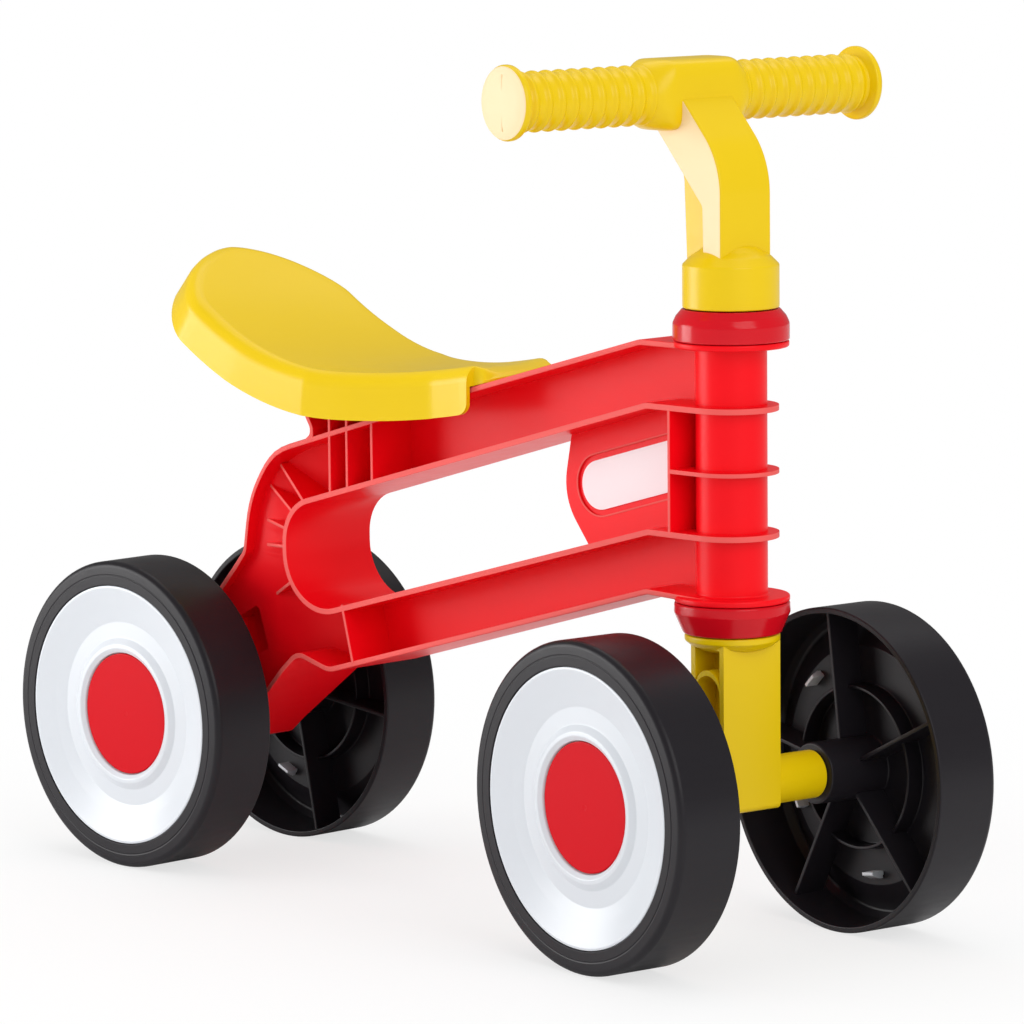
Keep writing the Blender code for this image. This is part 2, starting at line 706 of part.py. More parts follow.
def seat_top(y):
    """The height of the seat's rim at y: lowest at SEAT_LOW_Y, rising ahead and more steeply behind."""
    low = beam_top(SEAT_LOW_Y) + SEAT_STAND
    along = y - SEAT_LOW_Y
    if along < 0:
        past = max(0.0, -along - SEAT_LENGTH_AHEAD + SEAT_FALL_STARTS)
        return low + SEAT_RISE_AHEAD * along * along - SEAT_NOSE_FALL * past * past
    curved = min(along, SEAT_CURVED_BEHIND)
    return low + SEAT_RISE_BEHIND * curved * (curved + 2 * (along - curved))


def seat_lean(y):
    """How far the skirt leans back at y, because it stands square to the rising top."""
    along = min(max(y - SEAT_LOW_Y, 0.0), SEAT_CURVED_BEHIND)
    return SEAT_LEAN * math.atan(2 * SEAT_RISE_BEHIND * along)


def seat_rim():
    """Half of the top's rim seen from above, as (x, y) points from the nose round to the back."""
    tip = SEAT_FRONT_Y - SEAT_NOSE + SEAT_EDGE * 0.7
    narrow, wide = SEAT_FRONT_HALF_WIDTH - SEAT_EDGE, SEAT_HALF_WIDTH - SEAT_EDGE
    back = SEAT_LOW_Y + SEAT_LENGTH_BEHIND - SEAT_BACK_ROUNDING
    corners = [(0.0, tip, 0.0), (SEAT_NOSE_HALF_WIDTH - 0.0055, tip, 0.012)]
    corners += [(narrow, SEAT_FRONT_Y + SEAT_SKIRT_CORNER * share, 0.0) for share in (-0.03, 0.0, 0.04, 0.2, 0.5, 1.0)]
    corners += [
        (narrow + 0.001, SEAT_FRONT_Y + 0.0265, 0.030),
        (wide - 0.0033, SEAT_LOW_Y + 0.017, 0.006),
        (wide, SEAT_LOW_Y + 0.061, 0.060),
        (wide, back, 0.0),
    ]
    points = divided(rounded_outline(corners, math.radians(22)), 0.016)
    steps = 8
    for step in range(1, steps + 1):
        share = math.sin(math.pi / 2 * step / steps)
        narrowing = max(0.0, 1 - share**SEAT_BACK_FULLNESS) ** (1 / SEAT_BACK_FULLNESS)
        points.append(Vector((wide * narrowing if step < steps else 0.0, back + SEAT_BACK_ROUNDING * share)))
    return points


def build_seat(material, parent):
    """A shell open below: rings of points from the middle of the top out over the edge and down the skirt."""
    half = seat_rim()
    rim = half + [Vector((-p.x, p.y)) for p in reversed(half[1:-1])]
    outward = [(g - p) / 0.001 for g, p in zip(grown(rim, 0.001), rim)]
    nose_length = SEAT_FRONT_Y - half[0].y
    spine = (SEAT_FRONT_Y + 0.004, SEAT_LOW_Y + SEAT_LENGTH_BEHIND - 0.037)

    def on_nose(point):
        return point.y < SEAT_FRONT_Y + 1e-5

    def reach(point):
        """How far the seat's outside lies beyond the rim."""
        if point.y > SEAT_FRONT_Y - 1e-5:
            return SEAT_EDGE
        side = SEAT_NOSE_HALF_WIDTH - SEAT_FRONT_HALF_WIDTH + SEAT_EDGE
        return side + (SEAT_EDGE * 0.7 - side) * (SEAT_FRONT_Y - point.y) / nose_length

    def skirt(point):
        """The skirt's height at a point of the rim, with its lower front corner rounded."""
        into = min(point.y - SEAT_FRONT_Y, SEAT_SKIRT_CORNER)
        return SEAT_SKIRT - SEAT_SKIRT_CORNER + math.sqrt(max(0.0, into * (2 * SEAT_SKIRT_CORNER - into)))

    def moved(point, out, share, drop):
        """The rim's point moved outwards by a share of its reach and down, square to the top's slope there."""
        lean, away = seat_lean(point.y), share * reach(point)
        y = point.y + out.y * away * math.cos(lean) + drop * math.sin(lean)
        return Vector((point.x + out.x * away, y, seat_top(point.y) + out.y * away * math.sin(lean) - drop * math.cos(lean)))

    def ring(bm, share, drop, floor=None):
        verts = []
        for point, out in zip(rim, outward):
            place = moved(point, out, share, skirt(point) if drop is None and not on_nose(point) else drop or 0.0)
            if on_nose(point):
                rest = beam_top(place.y) + TOUCH_GAP
                place.z = rest if drop is None else max(place.z, rest + floor)
            verts.append(bm.verts.new(place))
        return verts

    def inner_ring(bm, share, drop, floor):
        """A ring on the top, drawn in towards the middle, or on its underside."""
        verts = []
        for point in rim:
            middle = min(max(point.y, spine[0]), spine[1])
            x, y = point.x * share, middle + (point.y - middle) * share
            rest = beam_top(y) + TOUCH_GAP + floor if y < SEAT_FRONT_Y else 0.0
            verts.append(bm.verts.new((x, y, max(rest, seat_top(y) - SEAT_DISH * (1 - share) - drop))))
        return verts

    bm = bmesh.new()
    in_wall = 1 - SEAT_WALL / SEAT_EDGE
    over = [ring(bm, 1.0, None), ring(bm, 1.0, SEAT_SHOULDER, 0.0012), ring(bm, 0.62, SEAT_SHOULDER * 0.28, 0.0018)]
    over += [inner_ring(bm, share, 0.0, 0.0022) for share in (1.0, 0.72, 0.36)]
    under = [ring(bm, in_wall, None), ring(bm, in_wall, SEAT_SHOULDER + SEAT_WALL, 0.0004)]
    under += [inner_ring(bm, share, SEAT_WALL, 0.0006) for share in (0.97, 0.72, 0.36)]
    for stack in (over, under):
        for first, second in zip(stack, stack[1:]):
            bridge(bm, first, second)
    bridge(bm, over[0], under[0])
    for stack in (over, under):
        close_strip(bm, stack[-1], len(half))
    bmesh.ops.remove_doubles(bm, verts=bm.verts, dist=1e-6)
    bmesh.ops.recalc_face_normals(bm, faces=bm.faces)
    bmesh.ops.triangulate(bm, faces=bm.faces)
    mesh = bpy.data.meshes.new("seat")
    bm.to_mesh(mesh)
    bm.free()
    seat = bpy.data.objects.new("seat", mesh)
    WORKSHOP.objects.link(seat)
    return finished(seat, "seat", material, parent)


def bridge(bm, first, second):
    count = len(first)
    for i in range(count):
        j = (i + 1) % count
        bm.faces.new((first[i], first[j], second[j], second[i]))


def close_strip(bm, ring, half_count):
    """Fills a long ring that is its own mirror image: faces across from each point to its mirrored one."""
    count = len(ring)
    for i in range(half_count - 1):
        quad = [ring[i], ring[i + 1], ring[(count - i - 1) % count], ring[(count - i) % count]]
        corners = []
        for vert in quad:
            if vert not in corners:
                corners.append(vert)
        bm.faces.new(corners)


# Collars, fork and handlebar


def build_collars(upper_material, lower_material, parent):
    bore = FORK_TUBE_RADIUS + STEERING_GAP
    matrix = Matrix.Translation((0, HEAD_Y, 0))
    low = HEAD_TOP + TOUCH_GAP
    upper = [
        (COLLAR_NECK_RADIUS, UPPER_COLLAR_TOP),
        (COLLAR_RADIUS - 0.0015, UPPER_COLLAR_TOP - 0.0035),
        (COLLAR_RADIUS, UPPER_COLLAR_TOP - 0.0062),
        (COLLAR_RADIUS, low),
        (bore, low),
        (bore, UPPER_COLLAR_TOP),
    ]
    finished(turned("upper_collar", upper, WHEEL_SIDES, matrix), "upper_collar", upper_material, parent)
    high = HEAD_BOTTOM - TOUCH_GAP
    lower = [
        (COLLAR_RADIUS - 0.0008, high),
        (COLLAR_RADIUS, high - 0.0012),
        (COLLAR_RADIUS, high - 0.0050),
        (COLLAR_NECK_RADIUS, LOWER_COLLAR_BOTTOM),
        (bore, LOWER_COLLAR_BOTTOM),
        (bore, high),
    ]
    finished(turned("lower_collar", lower, WHEEL_SIDES, matrix), "lower_collar", lower_material, parent)


def across(y, z):
    """A frame whose +Z runs along the bar or axle, towards the rider's left."""
    return Matrix.Translation((0, y, z)) @ Matrix.Rotation(math.pi / 2, 4, "Y")


def build_fork(material, steering):
    """The fork: a tube through the head, a round crown, a hollow-sided leg and the cross tube for the axle."""
    tube_top = SOCKET_TOP - 0.004
    axle_y = -TRAIL
    stem = [
        (0, tube_top),
        (FORK_TUBE_RADIUS, tube_top),
        (FORK_TUBE_RADIUS, CROWN_TOP),
        (CROWN_RADIUS, CROWN_TOP),
        (CROWN_RADIUS, CROWN_TOP - 0.0012),
        (CROWN_RADIUS - 0.001, CROWN_TOP - CROWN_HEIGHT),
        (CROWN_RADIUS - 0.004, CROWN_TOP - CROWN_HEIGHT - 0.0035),
        (0, CROWN_TOP - CROWN_HEIGHT - 0.0055),
    ]
    fork = turned("fork", stem, WHEEL_SIDES)
    foot = AXLE_Z - LEG_FOOT
    leg = block("leg", (-LEG_HALF_WIDTH, -LEG_FRONT, foot), (LEG_HALF_WIDTH, LEG_REAR, CROWN_TOP - CROWN_HEIGHT - 0.001))
    arch = rounded_outline(
        [
            (-LEG_FRONT + LEG_WALL, AXLE_Z + CROSS_TUBE_RADIUS + 0.004, 0.0),
            (-LEG_FRONT + LEG_WALL, CROWN_TOP - 0.0225, 0.008),
            (LEG_REAR - LEG_WALL, CROWN_TOP - 0.0185, 0.005),
            (LEG_REAR - LEG_WALL, AXLE_Z + CROSS_TUBE_RADIUS + 0.004, 0.0),
        ]
    )
    floor = LEG_HALF_WIDTH - LEG_POCKET
    pockets = [
        slab("pocket_right", [arch], -LEG_HALF_WIDTH - 0.001, -floor),
        slab("pocket_left", [arch], floor, LEG_HALF_WIDTH + 0.001),
    ]
    leg = cut(leg, pockets)
    half = FRONT_TRACK / 2 - HUB_INNER_DEPTH - TOUCH_GAP
    tube = [(0, half), (CROSS_TUBE_RADIUS - 0.0006, half), (CROSS_TUBE_RADIUS, half - 0.0006)]
    tube += [(radius, -height) for radius, height in reversed(tube)]
    fork = joined(fork, [leg, turned("cross_tube", tube, BAR_SIDES, across(axle_y, AXLE_Z))])
    hollow = [(0, 1), (FORK_TUBE_BORE, 1), (FORK_TUBE_BORE, CROWN_TOP + 0.004), (0, CROWN_TOP + 0.004)]
    bore = [(0, 1), (AXLE_SEAT_RADIUS, 1), (AXLE_SEAT_RADIUS, -1), (0, -1)]
    cutters = [
        turned("tube_hollow", hollow, BAR_SIDES),
        turned("axle_bore", bore, SMALL_SIDES, across(axle_y, AXLE_Z)),
        pin_bore(),
    ]
    return finished(cut(fork, cutters), "fork", material, steering)


def pin_place():
    """The frame of the pin that locks the handlebar to the fork tube: its +Z points out of the socket's back."""
    return Matrix.Translation((0, 0, SOCKET_BOTTOM + SOCKET_HEIGHT / 2)) @ Matrix.Rotation(-math.pi / 2, 4, "X")


def pin_bore():
    hole, tip = PIN_RADIUS + TOUCH_GAP, SOCKET_RADIUS + 0.002
    return turned("pin_bore", [(0, tip), (hole, tip), (hole, 0.003), (0, 0.003)], SMALL_SIDES, pin_place())


def grip_profile():
    """One end of the bar, as (radius, distance from the middle), from the tip down to the block."""
    tip = BAR_LENGTH / 2
    inner = tip - GRIP_FLANGE_WIDTH
    valley = GRIP_RADIUS - GRIP_GROOVE
    profile = [
        (0, tip),
        (GRIP_FLANGE_RADIUS * 0.70, tip - 0.0005),
        (GRIP_FLANGE_RADIUS - 0.0010, tip - 0.0016),
        (GRIP_FLANGE_RADIUS, tip - 0.0028),
        (GRIP_FLANGE_RADIUS, inner),
        (valley, inner - 0.0012),
    ]
    for ridge in range(GRIP_RIDGES - 1):
        crest = inner - 0.0012 - (ridge + 0.62) * GRIP_PITCH
        profile += [(GRIP_RADIUS, crest), (valley, crest - GRIP_PITCH * 0.5)]
    return profile


def build_handlebar(material, steering):
    """The handlebar: a round socket on the fork tube, a stem that sweeps back, a block and a ribbed grip each side."""
    half = grip_profile()
    profile = half + [(radius, -distance) for radius, distance in reversed(half)]
    bar = turned("bar", profile, BAR_SIDES, across(BAR_SETBACK, BAR_Z))
    h = BLOCK_SIZE / 2
    square = [(BAR_SETBACK + a * h, BAR_Z + b * h, BLOCK_ROUNDING) for a, b in ((-1, -1), (1, -1), (1, 1), (-1, 1))]
    core = slab("block", [rounded_outline(square, math.radians(30))], -BLOCK_HALF_LENGTH, BLOCK_HALF_LENGTH)
    elbow = BAR_Z - 0.0301
    stem_foot = SOCKET_TOP - 0.004
    stem_front = [
        (-STEM_FRONT, stem_foot, 0.0),
        (-STEM_FRONT, elbow, 0.040),
        (BAR_SETBACK - 0.0115, BAR_Z + 0.0040, 0.0),
        (BAR_SETBACK + 0.0063, BAR_Z - 0.0140, 0.0),
        (STEM_BACK + 0.0005, elbow - 0.0220, 0.004),
        (STEM_BACK, stem_foot, 0.0),
    ]
    stem = slab("stem", [rounded_outline(stem_front, math.radians(10))], -STEM_HALF_WIDTH, STEM_HALF_WIDTH)
    spine_outline = [
        (STEM_BACK - 0.002, stem_foot, 0.0),
        (STEM_BACK - 0.002, BAR_Z - 0.0300, 0.0),
        (BAR_SETBACK + 0.0063, BAR_Z - 0.0140, 0.0),
        (STEM_SPINE_BACK + 0.0020, BAR_Z - 0.0385, 0.006),
        (STEM_SPINE_BACK, stem_foot, 0.0),
    ]
    spine = slab(
        "stem_spine", [rounded_outline(spine_outline, math.radians(10))], -STEM_SPINE_HALF_WIDTH, STEM_SPINE_HALF_WIDTH
    )
    dome = [(0, SOCKET_TOP + SOCKET_DOME)]
    for radius, rise in ((0.50, 0.90), (0.67, 0.60), (0.83, 0.38)):
        dome.append((SOCKET_RADIUS * radius, SOCKET_TOP + SOCKET_DOME * rise))
    dome += [(SOCKET_RADIUS, SOCKET_TOP), (SOCKET_RADIUS, SOCKET_BOTTOM), (0, SOCKET_BOTTOM)]
    socket = turned("socket", dome, WHEEL_SIDES)
    handlebar = joined(bar, [core, stem, spine, socket])
    bore_radius = FORK_TUBE_RADIUS + TOUCH_GAP
    bore_top = SOCKET_TOP - 0.004 + TOUCH_GAP
    bore = [(0, bore_top), (bore_radius, bore_top), (bore_radius, SOCKET_BOTTOM - 0.001), (0, SOCKET_BOTTOM - 0.001)]
    return finished(cut(handlebar, [turned("bore", bore, WHEEL_SIDES), pin_bore()]), "handlebar", material, steering)


def build_lock_pin(material, steering):
    out, back = SOCKET_RADIUS - 0.0015, FORK_TUBE_BORE - 0.003
    profile = [(0, out), (PIN_RADIUS - 0.0004, out), (PIN_RADIUS, out - 0.0004), (PIN_RADIUS, back), (0, back)]
    finished(turned("pin", profile, SMALL_SIDES), "handlebar_lock_pin", material, steering, pin_place())


def build_axle(name, track, y, material, parent):
    """A plain steel rod, bevelled at both ends, that ends just inside the wheels' caps."""
    half = track / 2 - AXLE_END_DEPTH
    profile = [(0, half), (AXLE_RADIUS - 0.0008, half), (AXLE_RADIUS, half - 0.0008)]
    profile += [(radius, -height) for radius, height in reversed(profile)]
    finished(turned(name, profile, SMALL_SIDES), name, material, parent, across(y, AXLE_Z))


# Wheels


def wheel_profile():
    """The black moulding in section: tread, face and hub, from the lip round the disc."""
    lip = DISC_RADIUS + TOUCH_GAP
    r = WHEEL_RADIUS
    s = SHOULDER_RADIUS
    ledge = DISC_WALL + TOUCH_GAP
    back = FACE_DEPTH + FACE_WALL
    ring = STIFFENER_RADIUS
    shoulder = [(r - s * (1 - math.sin(a)), -s * (1 - math.cos(a))) for a in map(math.radians, (0, 45, 90))]
    return (
        [(lip, 0.0)]
        + shoulder
        + [
            (r, -WHEEL_WIDTH),
            (r - TREAD_WALL, -WHEEL_WIDTH),
            (r - TREAD_WALL - 0.001, -s - FACE_WALL),
            (r - s, -s * 0.8),
            (lip - 0.0085, -back),
            (ring + 0.0008, -back),
            (ring + 0.0006, -back - STIFFENER_HEIGHT),
            (ring - 0.0010, -back - STIFFENER_HEIGHT),
            (ring - 0.0012, -back),
            (HUB_RADIUS + 0.0005, -back),
            (HUB_RADIUS, -HUB_INNER_DEPTH),
            (HUB_BORE_RADIUS, -HUB_INNER_DEPTH),
            (HUB_BORE_RADIUS, -HUB_FACE_DEPTH),
            (HUB_RADIUS - 0.0015, -HUB_FACE_DEPTH),
            (HUB_RADIUS - 0.0015, -FACE_DEPTH),
            (lip - 0.0102, -FACE_DEPTH),
            (lip - 0.0034, -ledge - 0.0003),
            (lip, -ledge - 0.0003),
        ]
    )


def turned_round(obj, angle):
    return placed(obj, Matrix.Rotation(angle, 4, "Z"))


def hook_angle(index):
    """The hooks stand midway between spokes, in neighbouring gaps."""
    return 2 * math.pi * (index + 1.5) / SPOKES


def wheel_body(turn):
    wheel = turned("wheel", wheel_profile(), WHEEL_SIDES)
    back = FACE_DEPTH + FACE_WALL
    spokes = []
    for i in range(SPOKES):
        spoke = block(
            f"spoke_{i}",
            (HUB_RADIUS - 0.001, -SPOKE_THICKNESS / 2, -SPOKE_DEPTH),
            (WHEEL_RADIUS - TREAD_WALL + 0.0008, SPOKE_THICKNESS / 2, -back + 0.0005),
        )
        spokes.append(turned_round(spoke, turn + 2 * math.pi * i / SPOKES))
    wheel = joined(wheel, spokes)
    gap = RUNNING_GAP + 0.0004
    slots = []
    for i in range(HOOKS):
        slot = block(
            f"slot_{i}",
            (HOOK_RADIUS - HOOK_THICKNESS / 2 - gap, -HOOK_WIDTH / 2 - gap, -back - 0.001),
            (HOOK_RADIUS + HOOK_THICKNESS / 2 + gap + 0.0012, HOOK_WIDTH / 2 + gap, -FACE_DEPTH + 0.001),
        )
        slots.append(turned_round(slot, turn + hook_angle(i)))
    return cut(wheel, slots)


def disc_surface():
    """The white disc's front, as (radius, depth) points from its rim to the seat of the cap."""
    return [
        (DISC_RADIUS, 0.0004),
        (DISC_RADIUS - 0.0012, 0.0),
        (DISC_TROUGH_RADIUS + 0.0070, DISC_TROUGH_DEPTH * 0.72),
        (DISC_TROUGH_RADIUS, DISC_TROUGH_DEPTH),
        (DISC_RING_RADIUS, DISC_TROUGH_DEPTH - 0.0022),
        (CAP_RADIUS + 0.0025, DISC_TROUGH_DEPTH - 0.0022),
        (CAP_RADIUS + TOUCH_GAP, CAP_DEPTH + CAP_WALL + TOUCH_GAP),
    ]


def wheel_disc(turn):
    """The white disc with its snap hooks, which pass through the wheel's face."""
    front = disc_surface()
    hole = CAP_SPIGOT_RADIUS + TOUCH_GAP
    seat = CAP_DEPTH + CAP_WALL + TOUCH_GAP
    floor = FACE_DEPTH - TOUCH_GAP
    profile = [(radius, -depth) for radius, depth in reversed(front)]
    profile = [(hole, -seat)] + profile
    backing = [
        (DISC_RADIUS, -DISC_WALL),
        (DISC_RADIUS - 0.0034, -DISC_WALL),
        (DISC_TROUGH_RADIUS + 0.0065, -DISC_TROUGH_DEPTH * 0.72 - DISC_WALL),
        (DISC_TROUGH_RADIUS, -floor),
        (hole, -floor),
    ]
    disc = turned("disc", profile + backing, WHEEL_SIDES)
    back = FACE_DEPTH + FACE_WALL
    hooks = []
    for i in range(HOOKS):
        leg_low, leg_high = HOOK_RADIUS - HOOK_THICKNESS / 2, HOOK_RADIUS + HOOK_THICKNESS / 2
        barb = back + TOUCH_GAP
        outline = [
            Vector((leg_low, -DISC_TROUGH_DEPTH - DISC_WALL * 0.5)),
            Vector((leg_low, -back - HOOK_REACH)),
            Vector((leg_high - 0.0004, -back - HOOK_REACH)),
            Vector((leg_high + 0.0016, -barb - 0.002)),
            Vector((leg_high + 0.0016, -barb)),
            Vector((leg_high, -barb)),
            Vector((leg_high, -DISC_TROUGH_DEPTH - DISC_WALL * 0.5)),
        ]
        hook = slab(f"hook_{i}", [outline], -HOOK_WIDTH / 2, HOOK_WIDTH / 2, "front")
        hooks.append(turned_round(hook, turn + hook_angle(i)))
    return joined(disc, hooks)


def wheel_cap():
    """The red cap: a flat face, a lip that lies on the disc and a short spigot in the disc's hole."""
    inner = CAP_SPIGOT_RADIUS - 0.0018
    under = CAP_DEPTH + CAP_WALL
    profile = [
        (0, -CAP_DEPTH),
        (CAP_RADIUS - 0.0008, -CAP_DEPTH),
        (CAP_RADIUS, -CAP_DEPTH - 0.0006),
        (CAP_RADIUS, -under),
        (CAP_SPIGOT_RADIUS, -under),
        (CAP_SPIGOT_RADIUS, -FACE_DEPTH + TOUCH_GAP),
        (inner, -FACE_DEPTH + TOUCH_GAP),
        (inner, -under),
        (0, -under),
    ]
    return turned("cap", profile, WHEEL_SIDES)


def ring(name, inner, outer, near, far, sides=SMALL_SIDES):
    """A flat ring between two depths below the rim's face."""
    return turned(name, [(outer, -near), (outer, -far), (inner, -far), (inner, -near)], sides)


def build_wheel(name, place, parent, materials, axle_parent, axle_place):
    """One wheel on its hub line. The washer and push nut stay with the axle, and the rest turns."""
    hub = empty(f"{name}_hub", parent, place)
    turn = PARKED_WHEEL_TURNS.get(name, 0.0)
    finished(wheel_body(turn), f"{name}_wheel", materials["tyre"], hub)
    finished(wheel_disc(turn), f"{name}_disc", materials["disc"], hub)
    finished(wheel_cap(), f"{name}_cap", materials["cap"], hub)
    washer = ring("washer", AXLE_SEAT_RADIUS, WASHER_RADIUS, WASHER_DEPTH - WASHER_THICKNESS, WASHER_DEPTH)
    finished(washer, f"{name}_washer", materials["steel"], axle_parent, axle_place)
    nut = ring("nut", AXLE_SEAT_RADIUS, PUSH_NUT_RADIUS, PUSH_NUT_DEPTH - PUSH_NUT_THICKNESS, PUSH_NUT_DEPTH)
    finished(nut, f"{name}_push_nut", materials["steel"], axle_parent, axle_place)


def wheel_place(track, side, y):
    """The rim face of a wheel: side is -1 for the rider's right and 1 for the left."""
    return Matrix.Translation((side * track / 2, y, AXLE_Z)) @ Matrix.Rotation(side * math.pi / 2, 4, "Y")


for existing in list(bpy.data.objects):
    bpy.data.objects.remove(existing)

RIDE_ON = fresh_collection("foot_to_floor_ride_on")
WORKSHOP = fresh_collection("cutters")


def main():
    red = plastic("red_plastic", (0.78, 0.012, 0.016), 0.38)
    collar_red = plastic("collar_red", (0.62, 0.008, 0.014), 0.28)
    yellow = plastic("yellow_plastic", (0.91, 0.66, 0.02), 0.36)
    materials = {
        "tyre": plastic("black_plastic", (0.018, 0.017, 0.020), 0.45),
        "disc": plastic("white_plastic", (0.80, 0.83, 0.87), 0.34),
        "cap": plastic("cap_red", (0.60, 0.008, 0.012), 0.34),
        "steel": plastic("zinc_steel", (0.60, 0.61, 0.63), 0.32, 1.0),
    }
    label = plastic("label_white", (0.86, 0.87, 0.88), 0.42)

    root = empty("ride_on", None, Matrix.Translation(CENTRING))
    build_frame(red, root)
    build_labels(label, root)
    build_seat(yellow, root)
    build_collars(collar_red, collar_red, root)
    build_axle("rear_axle", REAR_TRACK, REAR_AXLE_Y, materials["steel"], root)

    steering = empty("steering", root, Matrix.Translation((0, HEAD_Y, 0)) @ Matrix.Rotation(PARKED_STEER, 4, "Z"))
    build_fork(yellow, steering)
    build_handlebar(yellow, steering)
    build_lock_pin(materials["steel"], steering)
    build_axle("front_axle", FRONT_TRACK, -TRAIL, materials["steel"], steering)

    for side, hand in ((-1, "right"), (1, "left")):
        front = wheel_place(FRONT_TRACK, side, -TRAIL)
        rear = wheel_place(REAR_TRACK, side, REAR_AXLE_Y)
        build_wheel(f"front_{hand}", front, steering, materials, steering, front)
        build_wheel(f"rear_{hand}", rear, root, materials, root, rear)


main()
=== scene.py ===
"""Dresses a toddler's foot-to-floor ride-on: finer moulded shapes, their plastics and the studio round them.

Lengths are in metres. +Z is up, the ride-on faces -Y, and its right side is -X. Each operator builds one group of
pieces from the sizes and colours kept in the scene's settings.
"""

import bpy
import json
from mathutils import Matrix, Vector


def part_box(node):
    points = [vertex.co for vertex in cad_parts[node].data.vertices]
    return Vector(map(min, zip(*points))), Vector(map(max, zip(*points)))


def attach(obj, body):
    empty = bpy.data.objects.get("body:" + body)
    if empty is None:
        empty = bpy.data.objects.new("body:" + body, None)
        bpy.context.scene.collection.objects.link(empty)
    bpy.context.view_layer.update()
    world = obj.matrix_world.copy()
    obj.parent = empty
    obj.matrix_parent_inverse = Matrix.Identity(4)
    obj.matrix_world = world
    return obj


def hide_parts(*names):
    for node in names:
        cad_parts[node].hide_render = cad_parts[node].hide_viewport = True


bl_info = {
    "name": "Foot-to-floor ride-on",
    "version": (1, 0, 0),
    "blender": (4, 5, 0),
    "location": "View3D > Sidebar > Ride-on",
    "description": "Builds the finished surfaces of a toddler's ride-on and the studio it stands in",
    "category": "Add Mesh",
}

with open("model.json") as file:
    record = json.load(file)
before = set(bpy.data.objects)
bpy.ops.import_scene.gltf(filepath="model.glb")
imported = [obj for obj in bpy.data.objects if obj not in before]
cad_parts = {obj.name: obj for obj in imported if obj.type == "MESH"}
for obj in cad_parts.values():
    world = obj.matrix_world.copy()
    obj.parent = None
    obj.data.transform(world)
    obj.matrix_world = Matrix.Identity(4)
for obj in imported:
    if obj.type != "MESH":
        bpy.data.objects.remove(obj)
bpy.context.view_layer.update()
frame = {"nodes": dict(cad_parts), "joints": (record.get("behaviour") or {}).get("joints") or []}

import json
import math

import bmesh
import bpy
from bpy.props import FloatProperty, FloatVectorProperty, IntProperty, PointerProperty
from mathutils import Matrix, Vector

JOINTS = {joint["name"]: joint for joint in frame["joints"]}
HEAD = Vector(JOINTS["steering_turn"]["pos_m"])
REAR = Vector(JOINTS["rear_right_wheel_spin"]["pos_m"])
SPIN_AXIS = JOINTS["front_right_wheel_spin"]["axis"]
PARKED_STEER = math.atan2(SPIN_AXIS[1], SPIN_AXIS[0])
AXLE_Z = REAR.z
HEAD_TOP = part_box("upper_collar")[0].z
HEAD_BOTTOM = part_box("lower_collar")[1].z
MIDDLE = Matrix.Translation((HEAD.x, 0, 0))
STEERED = Matrix.Translation((HEAD.x, HEAD.y, 0)) @ Matrix.Rotation(PARKED_STEER, 4, "Z")
HANDS = ((-1, "right"), (1, "left"))

# Places and sizes that several pieces share
CROSS_PLATE_BEHIND_HEAD = 0.0195
PARKED_WHEEL_TURNS = {"front_left": math.radians(244), "rear_left": math.radians(276)}
SEAT_LOW_Y = REAR.y - 0.1373
SEAT_CURVED_BEHIND = 0.1147
SEAT_RISE_AHEAD = 1.21
SEAT_NOSE_FALL, SEAT_FALL_STARTS = 30.0, 0.0040
PEDESTAL_BACK_AHEAD = 0.0965
PEDESTAL_FRONT_AHEAD = 0.0580
TAIL_HALF_THICKNESS, TAIL_STARTS, TAIL_RAMP = 0.0165, 0.1120, 0.0520
TOUCH_GAP = 0.0003
WELD = 1e-6
AXLE_HOLE = 0.0043
HUB_END_DEPTH = 0.0485
HUB_BORE = 0.0044
DISC_HOLE, DISC_FLOOR = 0.0268, 0.0097
CAP_SPIGOT = 0.0265
COLLAR_BORE = 0.0135
SOCKET_BORE = 0.0133
FORK_TUBE, FORK_TUBE_BORE = 0.0130, 0.0100
LEG_FRONT, LEG_BACK = -0.0148, 0.0100
STEM_FRONT, STEM_BACK = -0.0115, 0.0023
HOOK_INSIDE, HOOK_OUTSIDE, HOOK_BARB, HOOK_END = 0.0520, 0.0540, -0.0133, -0.0200
SHARP_ANGLE = math.radians(46)
# The second material slot: a painted highlight on the frame's narrow edges, a painted sheen on the handlebar's ends
# and stem sides
PAINTED_LIGHT_SLOT = 1

# The studio
WHITE = (1.0, 1.0, 1.0, 1.0)
CAMERA_LENS, CAMERA_PLACE, CAMERA_ANGLES = 204.0, (-1.9768, -2.1006, 0.5874), (-43.586, 7.738, -0.550)


def length(name, default, description):
    return FloatProperty(
        name=name, description=description, default=default, min=0.0001, max=1.0, precision=5,
        unit="LENGTH", subtype="DISTANCE",
    )


def share(name, default, description, high=1.0):
    return FloatProperty(name=name, description=description, default=default, min=0.0, max=high, subtype="FACTOR")


def power(name, default, description):
    return FloatProperty(name=name, description=description, default=default, min=0.0, unit="POWER")


def colour(name, default, description):
    return FloatVectorProperty(
        name=name, description=description, default=default, size=3, min=0.0, max=1.0, subtype="COLOR",
    )


